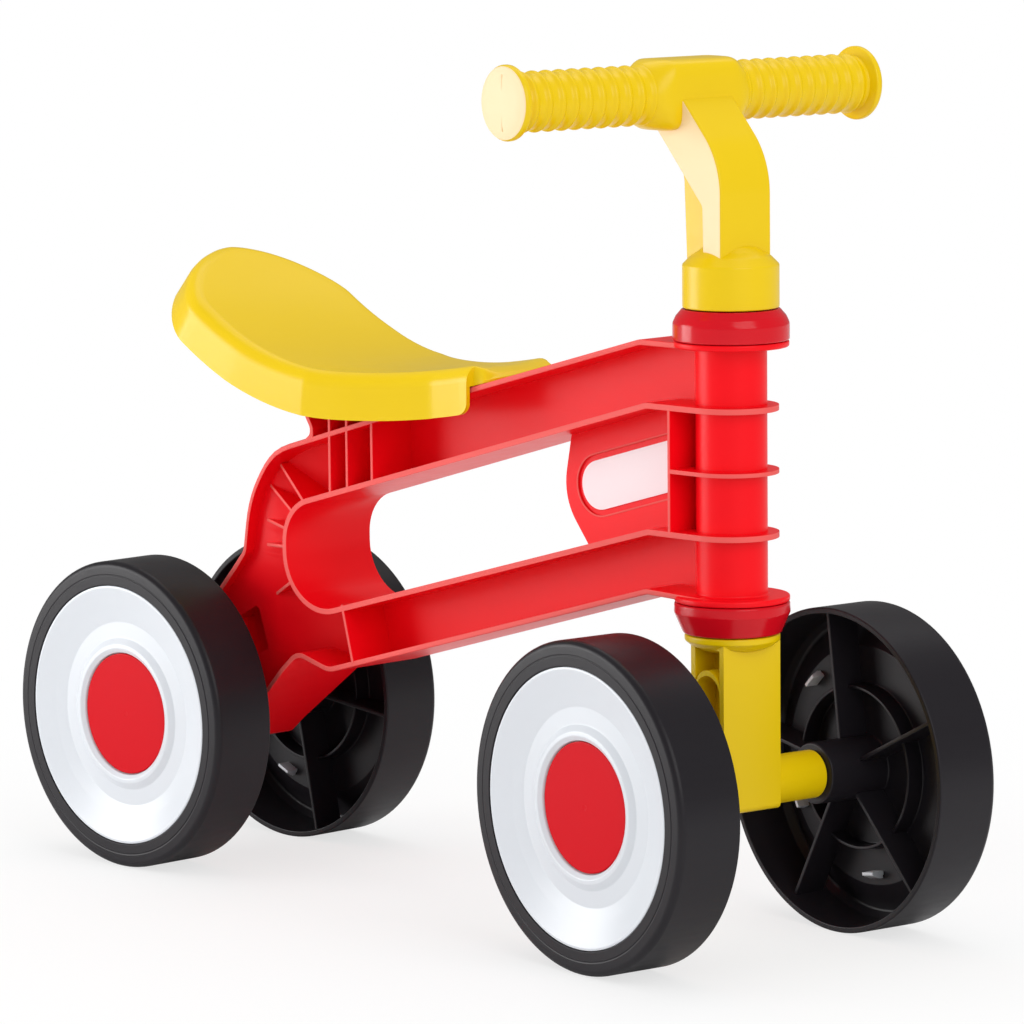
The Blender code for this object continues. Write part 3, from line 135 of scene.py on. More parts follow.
class RIDEON_PG_frame(bpy.types.PropertyGroup):
    """Sizes of the red frame moulding."""

    flange: length("Flange thickness", 0.0028, "Thickness of the flanges along the beams")
    web: length("Web thickness", 0.0026, "Thickness of the plate in the frame's middle plane")
    rib: length("Rib thickness", 0.0018, "Thickness of the upright ribs and gussets")
    half_width: length("Half width", 0.0290, "Half of the frame's width at its widest")
    tail_half_width: length("Tail half width", 0.0210, "Half of the frame's width at the rear axle")
    nose_radius: length("Nose radius", 0.0228, "Radius of the plates round the head tube")
    tube_radius: length("Head tube radius", 0.0172, "Outside radius of the head tube")
    tube_bore: length("Head tube bore", 0.0136, "Radius of the hole that the fork turns in")
    disc_radius: length("Head disc radius", 0.0278, "Radius of the discs at the head tube's ends")
    disc_thickness: length("Head disc thickness", 0.0030, "Thickness of the discs at the head tube's ends")
    beam_depth: length("Beam depth", 0.0335, "Height of each beam where it meets the head tube")
    badge_length: length("Badge length", 0.0900, "Length of the recess for the badge label")
    badge_height: length("Badge height", 0.0300, "Height of the recess for the badge label")
    badge_recess: length("Badge recess", 0.0008, "Depth of the recess for the badge label")
    label_margin: length("Label margin", 0.0028, "Gap round the label in its recess")
    edge_rounding: length("Edge rounding", 0.0006, "Radius on the moulding's free edges")
    boss_radius: length("Rear boss radius", 0.0160, "Radius of the boss that holds the rear axle")


class RIDEON_PG_seat(bpy.types.PropertyGroup):
    """Sizes of the yellow seat."""

    low_height: length("Low height", 0.2662, "Height of the seat's rim at its lowest")
    half_width: length("Half width", 0.0543, "Half of the seat's width at its widest")
    front_half_width: length("Front half width", 0.0296, "Half of the seat's width at the front of its skirt")
    nose_half_width: length("Nose half width", 0.0254, "Half of the flat nose's width")
    skirt: length("Skirt", 0.0237, "Height of the skirt below the rim")
    skirt_corner: length("Skirt corner", 0.0060, "Radius of the skirt's lower front corner")
    wall: length("Wall", 0.0024, "Thickness of the seat's shell")
    edge: length("Edge reach", 0.0064, "How far the skirt lies outside the rim")
    shoulder: length("Shoulder", 0.0080, "How far below the rim the skirt's straight part begins")
    dish: length("Dish", 0.0015, "Depth of the hollow across the top")
    behind: length("Length behind", 0.1259, "Length from the lowest point to the back of the rim")
    back_rounding: length("Back rounding", 0.0332, "Length of the back's rounding")
    ahead: length("Length ahead", 0.0802, "Length from the lowest point to the front of the skirt")
    nose: length("Nose", 0.0140, "Length of the flat nose ahead of the skirt")
    rise: FloatProperty(name="Rise", description="How steeply it rises behind", default=3.264, min=0.0, max=8.0)
    lean: FloatProperty(name="Lean", description="How far the skirt leans", default=1.15, min=0.0, max=2.0)


class RIDEON_PG_wheel(bpy.types.PropertyGroup):
    """Sizes of a wheel, its disc and its cap."""

    radius: length("Wheel radius", 0.0800, "Outside radius of the wheel")
    width: length("Wheel width", 0.0357, "Width of the wheel across its tread")
    wall: length("Tread wall", 0.0030, "Thickness of the tread")
    shoulder: length("Shoulder", 0.0070, "Radius between the sidewall and the tread")
    disc_radius: length("Disc radius", 0.0674, "Radius of the white disc")
    trough_radius: length("Trough radius", 0.0480, "Radius of the disc's lowest ring")
    trough_depth: length("Trough depth", 0.0062, "Depth of the disc's lowest ring")
    ring_radius: length("Ring radius", 0.0375, "Outside radius of the raised ring round the cap")
    cap_radius: length("Cap radius", 0.0315, "Radius of the red cap")
    cap_depth: length("Cap depth", 0.0057, "Depth of the cap's face behind the rim")
    hub_radius: length("Hub radius", 0.0150, "Radius of the hub")
    spoke: length("Spoke thickness", 0.0020, "Thickness of the ribs inside the wheel")
    spokes: IntProperty(name="Spokes", description="Number of ribs inside the wheel", default=5, min=3, max=12)
    hooks: IntProperty(name="Hooks", description="Number of snap hooks on the disc", default=3, min=2, max=8)


class RIDEON_PG_steering(bpy.types.PropertyGroup):
    """Sizes of the fork, the handlebar and the collars."""

    bar_length: length("Bar length", 0.2210, "Length of the handlebar")
    bar_setback: length("Bar setback", 0.0337, "Distance of the bar behind the head")
    bar_above_head: length("Bar above head", 0.1163, "Height of the bar above the head tube")
    grip_radius: length("Grip radius", 0.0146, "Radius over the grips' ridges")
    grip_groove: length("Grip groove", 0.0014, "Depth between the grips' ridges")
    grip_pitch: length("Grip pitch", 0.0079, "Distance from ridge to ridge")
    grip_ridges: IntProperty(name="Grip ridges", description="Ridges on each grip", default=10, min=2, max=20)
    end_radius: length("Grip end radius", 0.0180, "Radius of the disc at each grip's end")
    block_half: length("Block half length", 0.0285, "Half length of the block between the grips")
    block_size: length("Block size", 0.0340, "Height and depth of the block")
    stem_half_width: length("Stem half width", 0.0155, "Half width of the stem")
    socket_radius: length("Socket radius", 0.0232, "Radius of the handlebar's socket")
    socket_height: length("Socket height", 0.0206, "Height of the straight part of the socket")
    crown_radius: length("Crown radius", 0.0230, "Radius of the fork's crown")
    leg_half_width: length("Leg half width", 0.0175, "Half width of the fork's leg")
    leg_wall: length("Leg wall", 0.0032, "Thickness of the leg's front and rear walls")
    cross_tube_radius: length("Cross tube radius", 0.0118, "Radius of the tube round the front axle")
    collar_radius: length("Collar radius", 0.0280, "Outside radius of the collars")


class RIDEON_PG_finish(bpy.types.PropertyGroup):
    """Colours and surface of the plastics."""

    red: colour("Frame red", (0.880, 0.002, 0.008), "Colour of the frame")
    # Paler red for the frame's narrow edges: a painted highlight where they catch the light
    red_painted_highlight: colour("Frame edge red", (0.820, 0.105, 0.095), "Colour of the frame's narrow edges")
    collar_red: colour("Collar red", (0.620, 0.004, 0.012), "Colour of the collars")
    cap_red: colour("Cap red", (0.600, 0.001, 0.008), "Colour of the wheels' caps")
    yellow: colour("Yellow", (0.790, 0.540, 0.001), "Colour of the seat, fork and handlebar")
    # Pale yellow for the handlebar's grip ends and the stem's sides: a painted sheen, on a matt surface
    yellow_painted_sheen: colour("Pale yellow", (0.930, 0.700, 0.400), "Colour of the handlebar's matt ends")
    black: colour("Black", (0.013, 0.011, 0.014), "Colour of the wheels")
    white: colour("White", (0.660, 0.690, 0.730), "Colour of the wheels' discs")
    label: colour("Label white", (0.860, 0.800, 0.820), "Colour of the blank badge labels")
    metal: colour("Zinc", (0.600, 0.610, 0.630), "Colour of the zinc-plated steel")
    grain_size: length("Grain size", 0.0011, "Size of the fine grain on the mouldings")
    grain: share("Grain depth", 0.10, "Strength of the fine grain")


class RIDEON_PG_stage(bpy.types.PropertyGroup):
    """The studio round the ride-on."""

    floor: colour("Floor", (0.86, 0.86, 0.86), "Colour of the floor")
    key: power("Key light", 25.5, "Power of the large light ahead")
    rim: power("Rim light", 20.0, "Power of the light behind on the right")
    top: power("Top light", 16.0, "Power of the light overhead")
    fill: share("Fill", 0.74, "Strength of the even light from all round", 2.0)
    sheen: share("Sheen", 0.35, "How much of the even light shows in reflections")
    shadow: share("Shadow", 0.30, "How much of its shadow the floor shows")


class RIDEON_PG_settings(bpy.types.PropertyGroup):
    """All sizes and colours of the ride-on."""

    frame: PointerProperty(type=RIDEON_PG_frame, name="Frame", description="The red frame moulding")
    seat: PointerProperty(type=RIDEON_PG_seat, name="Seat", description="The yellow seat")
    wheel: PointerProperty(type=RIDEON_PG_wheel, name="Wheels", description="The four wheels")
    steering: PointerProperty(type=RIDEON_PG_steering, name="Steering", description="Fork, handlebar and collars")
    finish: PointerProperty(type=RIDEON_PG_finish, name="Finish", description="Colours and surface")
    stage: PointerProperty(type=RIDEON_PG_stage, name="Stage", description="Floor and lights")


def settings():
    return bpy.context.scene.ride_on


# Shapes


def rounded(corners, degrees=7, closed=True):
    """The outline through corners (a, b, radius), each rounded by an arc whose points lie these degrees apart."""
    points = []
    count = len(corners)
    for index, (a, b, radius) in enumerate(corners):
        corner = Vector((a, b))
        end = not closed and index in (0, count - 1)
        if radius <= 0 or end:
            points.append(corner)
            continue
        before = Vector(corners[index - 1][:2]) - corner
        after = Vector(corners[(index + 1) % count][:2]) - corner
        half = before.angle(after) / 2
        if half > math.pi / 2 - 1e-3:
            points.append(corner)
            continue
        reach = min(radius / math.tan(half), 0.49 * before.length, 0.49 * after.length)
        radius = reach * math.tan(half)
        middle = corner + (before.normalized() + after.normalized()).normalized() * radius / math.sin(half)
        start = corner + before.normalized() * reach - middle
        turn = math.pi - 2 * half
        side = 1 if start.x * (corner - middle).y - start.y * (corner - middle).x > 0 else -1
        steps = max(1, math.ceil(turn / math.radians(degrees)))
        points += [middle + Matrix.Rotation(side * turn * i / steps, 2) @ start for i in range(steps + 1)]
    return points


def grown(points, distance, closed=True):
    """The outline moved outwards by distance, or inwards where distance is negative."""
    area = sum(a.x * b.y - b.x * a.y for a, b in zip(points, points[1:] + points[:1]))
    distance = -distance if area > 0 else distance
    moved = []
    count = len(points)
    for index, point in enumerate(points):
        before = (point - points[index - 1]).normalized()
        after = (points[(index + 1) % count] - point).normalized()
        if not closed and index == 0:
            before = after
        if not closed and index == count - 1:
            after = before
        normal = (Vector((-before.y, before.x)) + Vector((-after.y, after.x))).normalized()
        stretch = max(0.3, normal.dot(Vector((-after.y, after.x))))
        moved.append(point + normal * distance / stretch)
    return moved


def stadium(centre, size, height, slope):
    """A bar with round ends, whose long axis is turned by slope."""
    radius = height / 2
    half = size / 2 - radius
    sides = 24
    points = []
    for end, start in ((1, -math.pi / 2), (-1, math.pi / 2)):
        for angle in (start + math.pi * i / sides for i in range(sides + 1)):
            points.append(Vector((end * half + radius * math.cos(angle), radius * math.sin(angle))))
    return [Vector(centre) + Matrix.Rotation(slope, 2) @ point for point in points]


# A flat part's outline and thickness go to Y, Z and X in the side plane, and to X, Z and -Y in the front plane
SIDE = Matrix(((0, 0, 1, 0), (1, 0, 0, 0), (0, 1, 0, 0), (0, 0, 0, 1)))
FRONT = Matrix(((1, 0, 0, 0), (0, 0, -1, 0), (0, 1, 0, 0), (0, 0, 0, 1)))


def add_to(whole, part, matrix=None, slot=0):
    """Puts a finished part into a piece's mesh, in its place and with one material slot."""
    for face in part.faces:
        face.material_index = max(face.material_index, slot)
        face.smooth = True
    if matrix:
        bmesh.ops.transform(part, matrix=matrix, verts=part.verts)
    mesh = bpy.data.meshes.new("part")
    part.to_mesh(mesh)
    part.free()
    whole.from_mesh(mesh)
    bpy.data.meshes.remove(mesh)


def softened(part, width, segments=2, angle=40):
    """Rounds every edge that is sharper than angle."""
    if width <= 0:
        return
    limit = math.radians(angle)
    edges = [e for e in part.edges if len(e.link_faces) == 2 and e.calc_face_angle(0.0) > limit]
    bmesh.ops.bevel(
        part, geom=edges, offset=width, offset_type="OFFSET", segments=segments, profile=0.5, affect="EDGES",
        clamp_overlap=True, material=-1,
    )


def turned(profile, steps=96, closed=False):
    """A turned part: the (radius, height) points spun once round Z."""
    part = bmesh.new()
    verts = [part.verts.new((radius, 0.0, height)) for radius, height in profile]
    edges = [part.edges.new(pair) for pair in zip(verts, verts[1:])]
    if closed:
        edges.append(part.edges.new((verts[-1], verts[0])))
    bmesh.ops.spin(
        part, geom=verts + edges, cent=(0, 0, 0), axis=(0, 0, 1), dvec=(0, 0, 0), angle=2 * math.pi,
        steps=steps, use_merge=True,
    )
    bmesh.ops.remove_doubles(part, verts=part.verts, dist=WELD)
    bmesh.ops.recalc_face_normals(part, faces=part.faces)
    return part


def lathed(whole, corners, degrees, steps, place=None, closed=True):
    """Adds a turned part to a piece, from the (radius, height, rounding) corners of its section."""
    add_to(whole, turned(rounded(corners, degrees, closed), steps, closed), place)


def across(y, z):
    """A frame whose +Z runs along the bar or axle, towards the rider's left."""
    return Matrix.Translation((0, y, z)) @ Matrix.Rotation(math.pi / 2, 4, "Y")


def axle_tube(whole, r, reach, rounding, place):
    """The tube round an axle, as far as reach each side of the middle."""
    corners = [(AXLE_HOLE, reach, 0.0), (r, reach, rounding), (r, -reach, rounding), (AXLE_HOLE, -reach, 0.0)]
    lathed(whole, corners, 30, 64, place)


def plate(outlines, low, high, rounding=0.0, segments=2):
    """A flat part between two heights: the first outline with the later ones as holes."""
    part = bmesh.new()
    edges = []
    for outline in outlines:
        verts = [part.verts.new((a, b, low)) for a, b in outline]
        edges += [part.edges.new(pair) for pair in zip(verts, verts[1:] + verts[:1])]
    bmesh.ops.triangle_fill(part, use_beauty=True, use_dissolve=False, edges=edges)
    raised = bmesh.ops.extrude_face_region(part, geom=part.faces[:], use_keep_orig=True)
    moved = [item for item in raised["geom"] if isinstance(item, bmesh.types.BMVert)]
    bmesh.ops.translate(part, vec=(0, 0, high - low), verts=moved)
    bmesh.ops.recalc_face_normals(part, faces=part.faces)
    softened(part, rounding, segments)
    return part


def give_painted_light(part, axis, facing=True):
    """Gives the second material, the painted highlight or painted sheen, to the faces that look along an axis, or
    to all the others.
    """
    for face in part.faces:
        if (abs(face.normal[axis]) > 0.5) == facing:
            face.material_index = PAINTED_LIGHT_SLOT


def slab(low, high, rounding=0.0):
    """A box between two corners, with rounded edges."""
    low, high = Vector(low), Vector(high)
    part = bmesh.new()
    bmesh.ops.create_cube(part, size=1.0)
    bmesh.ops.scale(part, vec=high - low, verts=part.verts)
    bmesh.ops.translate(part, vec=(low + high) / 2, verts=part.verts)
    softened(part, rounding)
    return part


def lofted(rings):
    """A skin through rings of points, each ring bridged to the next and the ends filled."""
    part = bmesh.new()
    loops = []
    for ring in rings:
        verts = [part.verts.new(point) for point in ring]
        loops.append([part.edges.new(pair) for pair in zip(verts, verts[1:] + verts[:1])])
    for first, second in zip(loops, loops[1:]):
        bmesh.ops.bridge_loops(part, edges=first + second)
    for loop in (loops[0], loops[-1]):
        bmesh.ops.triangle_fill(part, use_beauty=True, use_dissolve=False, edges=loop)
    bmesh.ops.recalc_face_normals(part, faces=part.faces)
    return part


def finished(name, whole, body, kinds, nodes, matrix=None):
    """Makes the piece an object that rides on its body and stands for its CAD nodes."""
    if matrix:
        bmesh.ops.transform(whole, matrix=matrix, verts=whole.verts)
    mesh = bpy.data.meshes.new(name)
    whole.to_mesh(mesh)
    whole.free()
    piece = bpy.data.objects.new(name, mesh)
    bpy.context.scene.collection.objects.link(piece)
    for kind in kinds:
        mesh.materials.append(surface(kind))
    mesh.set_sharp_from_angle(angle=SHARP_ANGLE)
    weighted = piece.modifiers.new("Even shading", "WEIGHTED_NORMAL")
    weighted.keep_sharp = True
    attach(piece, body)
    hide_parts(*nodes)
    return piece


# Surfaces


def node(tree, kind, values=(), **choices):
    """A shader node. Each of its values is a number, a colour or another node's output."""
    made = tree.nodes.new("ShaderNode" + kind)
    for name, choice in choices.items():
        setattr(made, name, choice)
    for socket, value in dict(values).items():
        if isinstance(value, bpy.types.NodeSocket):
            tree.links.new(value, made.inputs[socket])
        else:
            made.inputs[socket].default_value = value
    return made


def moulding_group():
    """Fine grain, flow shading and faint scuffs, shared by all the mouldings."""
    group = bpy.data.node_groups.get("moulded_surface")
    if group:
        return group
    group = bpy.data.node_groups.new("moulded_surface", "ShaderNodeTree")
    for way, names in (
        ("INPUT", ("Colour", "Mottle", "Grain size", "Roughness", "Scuffs")),
        ("OUTPUT", ("Colour", "Roughness", "Height")),
    ):
        for name in names:
            kind = "NodeSocketColor" if name == "Colour" else "NodeSocketFloat"
            group.interface.new_socket(name=name, in_out=way, socket_type=kind)
    given = group.nodes.new("NodeGroupInput").outputs
    out = group.nodes.new("NodeGroupOutput").inputs
    place = node(group, "TexCoord").outputs["Object"]

    def noise(scale, detail, where=place):
        return node(group, "TexNoise", {"Scale": scale, "Detail": detail, "Vector": where}).outputs["Fac"]

    def maths(operation, first, second):
        return node(group, "Math", {0: first, 1: second}, operation=operation).outputs[0]

    tone = maths("MULTIPLY", maths("SUBTRACT", noise(9.0, 3.0), 0.5), given["Mottle"])
    tint = node(group, "HueSaturation", {"Value": maths("ADD", tone, 1.0), "Color": given["Colour"]})
    grain = noise(maths("DIVIDE", 1.0, given["Grain size"]), 2.0)
    streaks = node(group, "Mapping", {"Vector": place, "Scale": (1.0, 1.0, 6.0)}).outputs["Vector"]
    worn = maths("MULTIPLY", maths("SUBTRACT", noise(70.0, 4.0, streaks), 0.45), given["Scuffs"])
    group.links.new(tint.outputs["Color"], out["Colour"])
    group.links.new(maths("ADD", given["Roughness"], worn), out["Roughness"])
    group.links.new(maths("ADD", maths("MULTIPLY", grain, 0.35), noise(28.0, 1.0)), out["Height"])
    return group


# Each surface's material, colour in the finish settings, roughness, mottle and scuffs, and what else differs
SURFACES = {
    "red": ("red_moulding", "red", 0.34, 0.06, 0.12, {"shine": 0.16}),
    # The frame's narrow edges: paler red as a painted highlight
    "edge": ("red_moulding_painted_highlight", "red_painted_highlight", 0.55, 0.08, 0.10, {"shine": 0.20}),
    "collar": ("collar_moulding", "collar_red", 0.20, 0.03, 0.06, {"bump": 0.03, "coat": 0.12, "shine": 0.20}),
    "yellow": ("yellow_moulding", "yellow", 0.30, 0.04, 0.10, {"shine": 0.28}),
    # The handlebar's ends and the stem's sides: pale yellow as a painted sheen
    "painted_sheen": ("yellow_moulding_painted_sheen", "yellow_painted_sheen", 0.50, 0.04, 0.10, {}),
    "black": ("black_moulding", "black", 0.38, 0.20, 0.12, {"shine": 0.24}),
    "white": ("white_moulding", "white", 0.30, 0.02, 0.05, {"bump": 0.02}),
    "cap": ("cap_moulding", "cap_red", 0.30, 0.04, 0.08, {"bump": 0.03, "shine": 0.08}),
    "label": ("label_film", "label", 0.38, 0.02, 0.05, {"bump": 0.02}),
    "zinc": ("zinc_plate", "metal", 0.34, 0.08, 0.20, {"grain": 0.0006, "metallic": 1.0}),
}


def surface(kind):
    """A moulded plastic, or plated metal, whose colour, roughness and height come from the shared group."""
    name, colour_name, roughness, mottle, scuffs, other = SURFACES[kind]
    material = bpy.data.materials.get(name)
    if material:
        return material
    finish = settings().finish
    tone = (*getattr(finish, colour_name), 1.0)
    material = bpy.data.materials.new(name)
    material.use_nodes = True
    material.diffuse_color = tone
    tree = material.node_tree
    values = {"Colour": tone, "Mottle": mottle, "Grain size": other.get("grain", finish.grain_size)}
    values.update({"Roughness": roughness, "Scuffs": scuffs})
    made = node(tree, "Group", values, node_tree=moulding_group()).outputs
    values = {"Strength": other.get("bump", finish.grain), "Distance": 0.0006, "Height": made["Height"]}
    relief = node(tree, "Bump", values).outputs["Normal"]
    shader = tree.nodes["Principled BSDF"].inputs
    shader["Metallic"].default_value = other.get("metallic", 0.0)
    shader["Specular IOR Level"].default_value = other.get("shine", 0.5)
    shader["Coat Weight"].default_value = other.get("coat", 0.0)
    shader["Coat Roughness"].default_value = 0.12
    for socket, output in (("Base Color", made["Colour"]), ("Roughness", made["Roughness"]), ("Normal", relief)):
        tree.links.new(output, shader[socket])
    return material


# Frame


def top_edge():
    """Corners along the frame's back, from the head to the bend above the loop."""
    bend = (HEAD.y + 0.0388, HEAD_TOP - 0.0008, 0.012)
    shoulder = (REAR.y - 0.0680, AXLE_Z + 0.1396, 0.055)
    run = 0.447
    bow = 0.0012
    crest = (bend[0] + run * (shoulder[0] - bend[0]), bend[1] + run * (shoulder[1] - bend[1]) + bow, 0.120)
    return [(HEAD.y, HEAD_TOP - 0.0008, 0.0), bend, crest, shoulder]


def back_height(y):
    corners = top_edge()
    for (y0, z0, _), (y1, z1, _) in zip(corners, corners[1:]):
        if y <= y1:
            return z0 + (z1 - z0) * (y - y0) / (y1 - y0)
    return corners[-1][1]


def outer_corners():
    """The frame's outside in side view, from the top of the head round the tail to the bottom of the head."""
    tail = [
        (REAR.y - 0.0446, AXLE_Z + 0.1125, 0.058), (REAR.y - 0.0386, AXLE_Z + 0.0845, 0.006),
        (REAR.y + 0.0180, AXLE_Z + 0.0240, 0.016), (REAR.y + 0.0180, AXLE_Z - 0.0180, 0.018),
        (REAR.y - 0.0262, AXLE_Z - 0.0180, 0.010), (REAR.y - 0.0882, AXLE_Z + 0.0350, 0.009),
        (REAR.y - 0.1112, AXLE_Z + 0.0289, 0.016),
    ]
    front = [(HEAD.y + 0.0348, HEAD_BOTTOM + 0.0020, 0.010), (HEAD.y, HEAD_BOTTOM + 0.0008, 0.0)]
    return top_edge() + tail + front


def window_corners():
    """The long opening between the beams, from the nose plate round the loop and back."""
    depth = settings().frame.beam_depth
    top, low = HEAD_TOP - TOUCH_GAP - depth, HEAD_BOTTOM + TOUCH_GAP + depth
    r, turn = 0.0275, math.radians(52.7)
    y, z = REAR.y - 0.1083, AXLE_Z + 0.0892
    reach = r * math.tan(turn / 2)
    along = Matrix.Rotation(-turn, 2) @ Vector((0.0, -2 * reach))
    return [
        (HEAD.y, top, 0.0), (HEAD.y + 0.0343, top, 0.010), (y + r, z + r * 0.757, r), (y + r, z - reach, r),
        (y + r + along.x, z - reach + along.y, r), (HEAD.y + 0.0338, low, 0.010), (HEAD.y, low, 0.0),
    ]


def window_height(y, upper):
    corners = window_corners()
    first, second = (corners[1], corners[2]) if upper else (corners[5], corners[4])
    return first[1] + (second[1] - first[1]) * (y - first[0]) / (second[0] - first[0])


def half_width_at(y):
    """Half of the frame's width at y: a round nose, widening to the loop and narrowing to the tail."""
    sizes = settings().frame
    if y < HEAD.y:
        inside = max(0.0, sizes.nose_radius**2 - (y - HEAD.y) ** 2)
        return math.sqrt(inside)
    stations = [
        (HEAD.y, sizes.nose_radius), (REAR.y - 0.0862, sizes.half_width), (REAR.y - 0.0740, sizes.half_width),
        (REAR.y - 0.0360, sizes.tail_half_width),
    ]
    for (y0, w0), (y1, w1) in zip(stations, stations[1:]):
        if y <= y1:
            return w0 + (w1 - w0) * (y - y0) / (y1 - y0)
    return sizes.tail_half_width


def divided(path, step):
    """The path with points added so that none are further apart than step."""
    points = [path[0]]
    for point in path[1:]:
        count = max(1, math.ceil((point - points[-1]).length / step))
        start = points[-1]
        points += [start.lerp(point, i / count) for i in range(1, count + 1)]
    return points


def flange(path, thickness):
    """A flange along an open path, as wide as the frame at each point. Its narrow faces take the painted highlight.
    """
    inner = grown(path, -thickness, closed=False)
    rings = []
    for outside, inside in zip(path, inner):
        wide, narrow = (max(0.0004, half_width_at(point.x)) for point in (outside, inside))
        rings.append([
            Vector((-wide, outside.x, outside.y)), Vector((wide, outside.x, outside.y)),
            Vector((narrow, inside.x, inside.y)), Vector((-narrow, inside.x, inside.y)),
        ])
    part = lofted(rings)
    for face in part.faces:
        centre = face.calc_center_median()
        # The narrow faces and the nose's upright faces take the painted highlight
        if abs(face.normal.x) > 0.5 or centre.y < HEAD.y and abs(face.normal.z) < 0.5:
            face.material_index = PAINTED_LIGHT_SLOT
    softened(part, settings().frame.edge_rounding, 2, 50)
    return part


def nosed(path):
    """The path led on round the head tube to the tip of the nose at both of its ends."""
    radius = settings().frame.nose_radius
    steps = 14
    arc = [HEAD.y - radius * math.cos(math.radians(90) * i / steps) for i in range(steps)]
    first = [Vector((y, path[0].y)) for y in arc]
    last = [Vector((y, path[-1].y)) for y in reversed(arc)]
    return first + path + last


def cross_rib(y, low, high, half_width):
    """An upright rib across the frame. Its narrow side faces take the painted highlight."""
    rib = settings().frame.rib
    part = slab((-half_width, y - rib / 2, low), (half_width, y + rib / 2, high))
    give_painted_light(part, 0)
    softened(part, 0.0004)
    return part


def gusset(inner, outer, half_width, outer_half_width):
    """A rib from one flange at inner to another at outer, where it may stand less far out from the web."""
    inner, outer = Vector(inner), Vector(outer)
    run = (outer - inner).normalized()
    reach = (outer - inner).length
    sink = 0.002
    outline = [(-sink, -half_width), (reach, -outer_half_width), (reach, outer_half_width), (-sink, half_width)]
    rib = settings().frame.rib
    part = plate([[Vector(p) for p in outline]], -rib / 2, rib / 2)
    # The rib's narrow faces take the painted highlight
    give_painted_light(part, 2, False)
    softened(part, 0.0004)
    matrix = Matrix(((0, 1, 0, 0), (run.x, 0, run.y, inner.x), (run.y, 0, -run.x, inner.y), (0, 0, 0, 1)))
    bmesh.ops.transform(part, matrix=matrix, verts=part.verts)
    return part


def badge_centre():
    y = HEAD.y + 0.0600
    return Vector((y, (window_height(y, True) + window_height(y, False)) / 2 + 0.0005))


def badge_slope():
    corners = window_corners()
    return math.atan2(corners[2][1] - corners[1][1], corners[2][0] - corners[1][0])


def web_parts(whole):
    """The plate in the middle plane: beams, loop and badge, with the badge's recess let into both sides."""
    sizes = settings().frame
    outer = grown(rounded(outer_corners()), -sizes.flange / 2)
    outer = [Vector((max(point.x, HEAD.y), point.y)) for point in outer]
    corners = window_corners()
    back = HEAD.y + 0.1130
    low, high = window_height(back - 0.018, False), window_height(back - 0.005, True)
    lap = sizes.flange / 2
    opening = rounded([
        (back - 0.005, high + lap, 0.0), (corners[2][0] + lap, corners[2][1] + lap, corners[2][2]),
        (corners[3][0] + lap, corners[3][1] - lap * 0.5, corners[3][2]),
        (corners[4][0] + lap * 0.2, corners[4][1] - lap * 1.1, corners[4][2]), (back - 0.018, low - lap, 0.0),
        (back + 0.0015, (low + high) / 2 - 0.004, 0.030),
    ])
    recess = stadium(badge_centre(), sizes.badge_length, sizes.badge_height, badge_slope())
    half = sizes.web / 2
    add_to(whole, plate([outer, opening, recess], -half, half, 0.0005), SIDE)
    floor = grown(recess, 0.0015)
    add_to(whole, plate([floor], -half + sizes.badge_recess, half - sizes.badge_recess), SIDE)
    # A thin rim round the recess on each side, in the painted highlight slot
    rim_out = grown(recess, 0.0009)
    for side in (-1, 1):
        low, high = sorted((side * (half - 0.0004), side * (half + 0.0003)))
        add_to(whole, plate([rim_out, recess], low, high, 0.0002), SIDE, 1)


def head_parts(whole):
    """The head tube, its end discs and the middle plate and cross plate beside it."""
    sizes = settings().frame
    t = sizes.disc_thickness
    high, low = HEAD_TOP - TOUCH_GAP, HEAD_BOTTOM + TOUCH_GAP
    r, d, b = sizes.tube_radius, sizes.disc_radius, sizes.tube_bore
    profile = [
        (b, high, 0.0), (d, high, 0.0008), (d, high - t, 0.0010), (r, high - t, 0.0012), (r, low + t, 0.0012),
        (d, low + t, 0.0010), (d, low, 0.0008), (b, low, 0.0),
    ]
    lathed(whole, profile, 30, 96, Matrix.Translation((0, HEAD.y, 0)))
    corners = window_corners()
    top, bottom = corners[0][1], corners[-1][1]
    middle = (top + bottom) / 2
    behind = HEAD.y + CROSS_PLATE_BEHIND_HEAD
    steps = 40
    nose = [
        Vector((sizes.nose_radius * math.cos(a), HEAD.y + sizes.nose_radius * math.sin(a)))
        for a in [math.pi + math.pi * i / steps for i in range(steps + 1)]
    ]
    half = half_width_at(behind)
    outline = nose + [Vector((half, behind)), Vector((-half, behind))]
    part = plate([outline], middle - 0.0010, middle + 0.0010)
    # The plate's narrow faces take the painted highlight
    give_painted_light(part, 2, False)
    softened(part, 0.0003)
    add_to(whole, part)
    add_to(whole, cross_rib(behind, bottom - sizes.flange / 2, top + sizes.flange / 2, half))


def seat_top(y):
    """The height of the seat's rim at y: lowest at SEAT_LOW_Y, rising ahead and more steeply behind."""
    sizes = settings().seat
    along = y - SEAT_LOW_Y
    if along < 0:
        past = max(0.0, -along - sizes.ahead + SEAT_FALL_STARTS)
        return sizes.low_height + SEAT_RISE_AHEAD * along * along - SEAT_NOSE_FALL * past * past
    curved = min(along, SEAT_CURVED_BEHIND)
    return sizes.low_height + sizes.rise * curved * (curved + 2 * (along - curved))


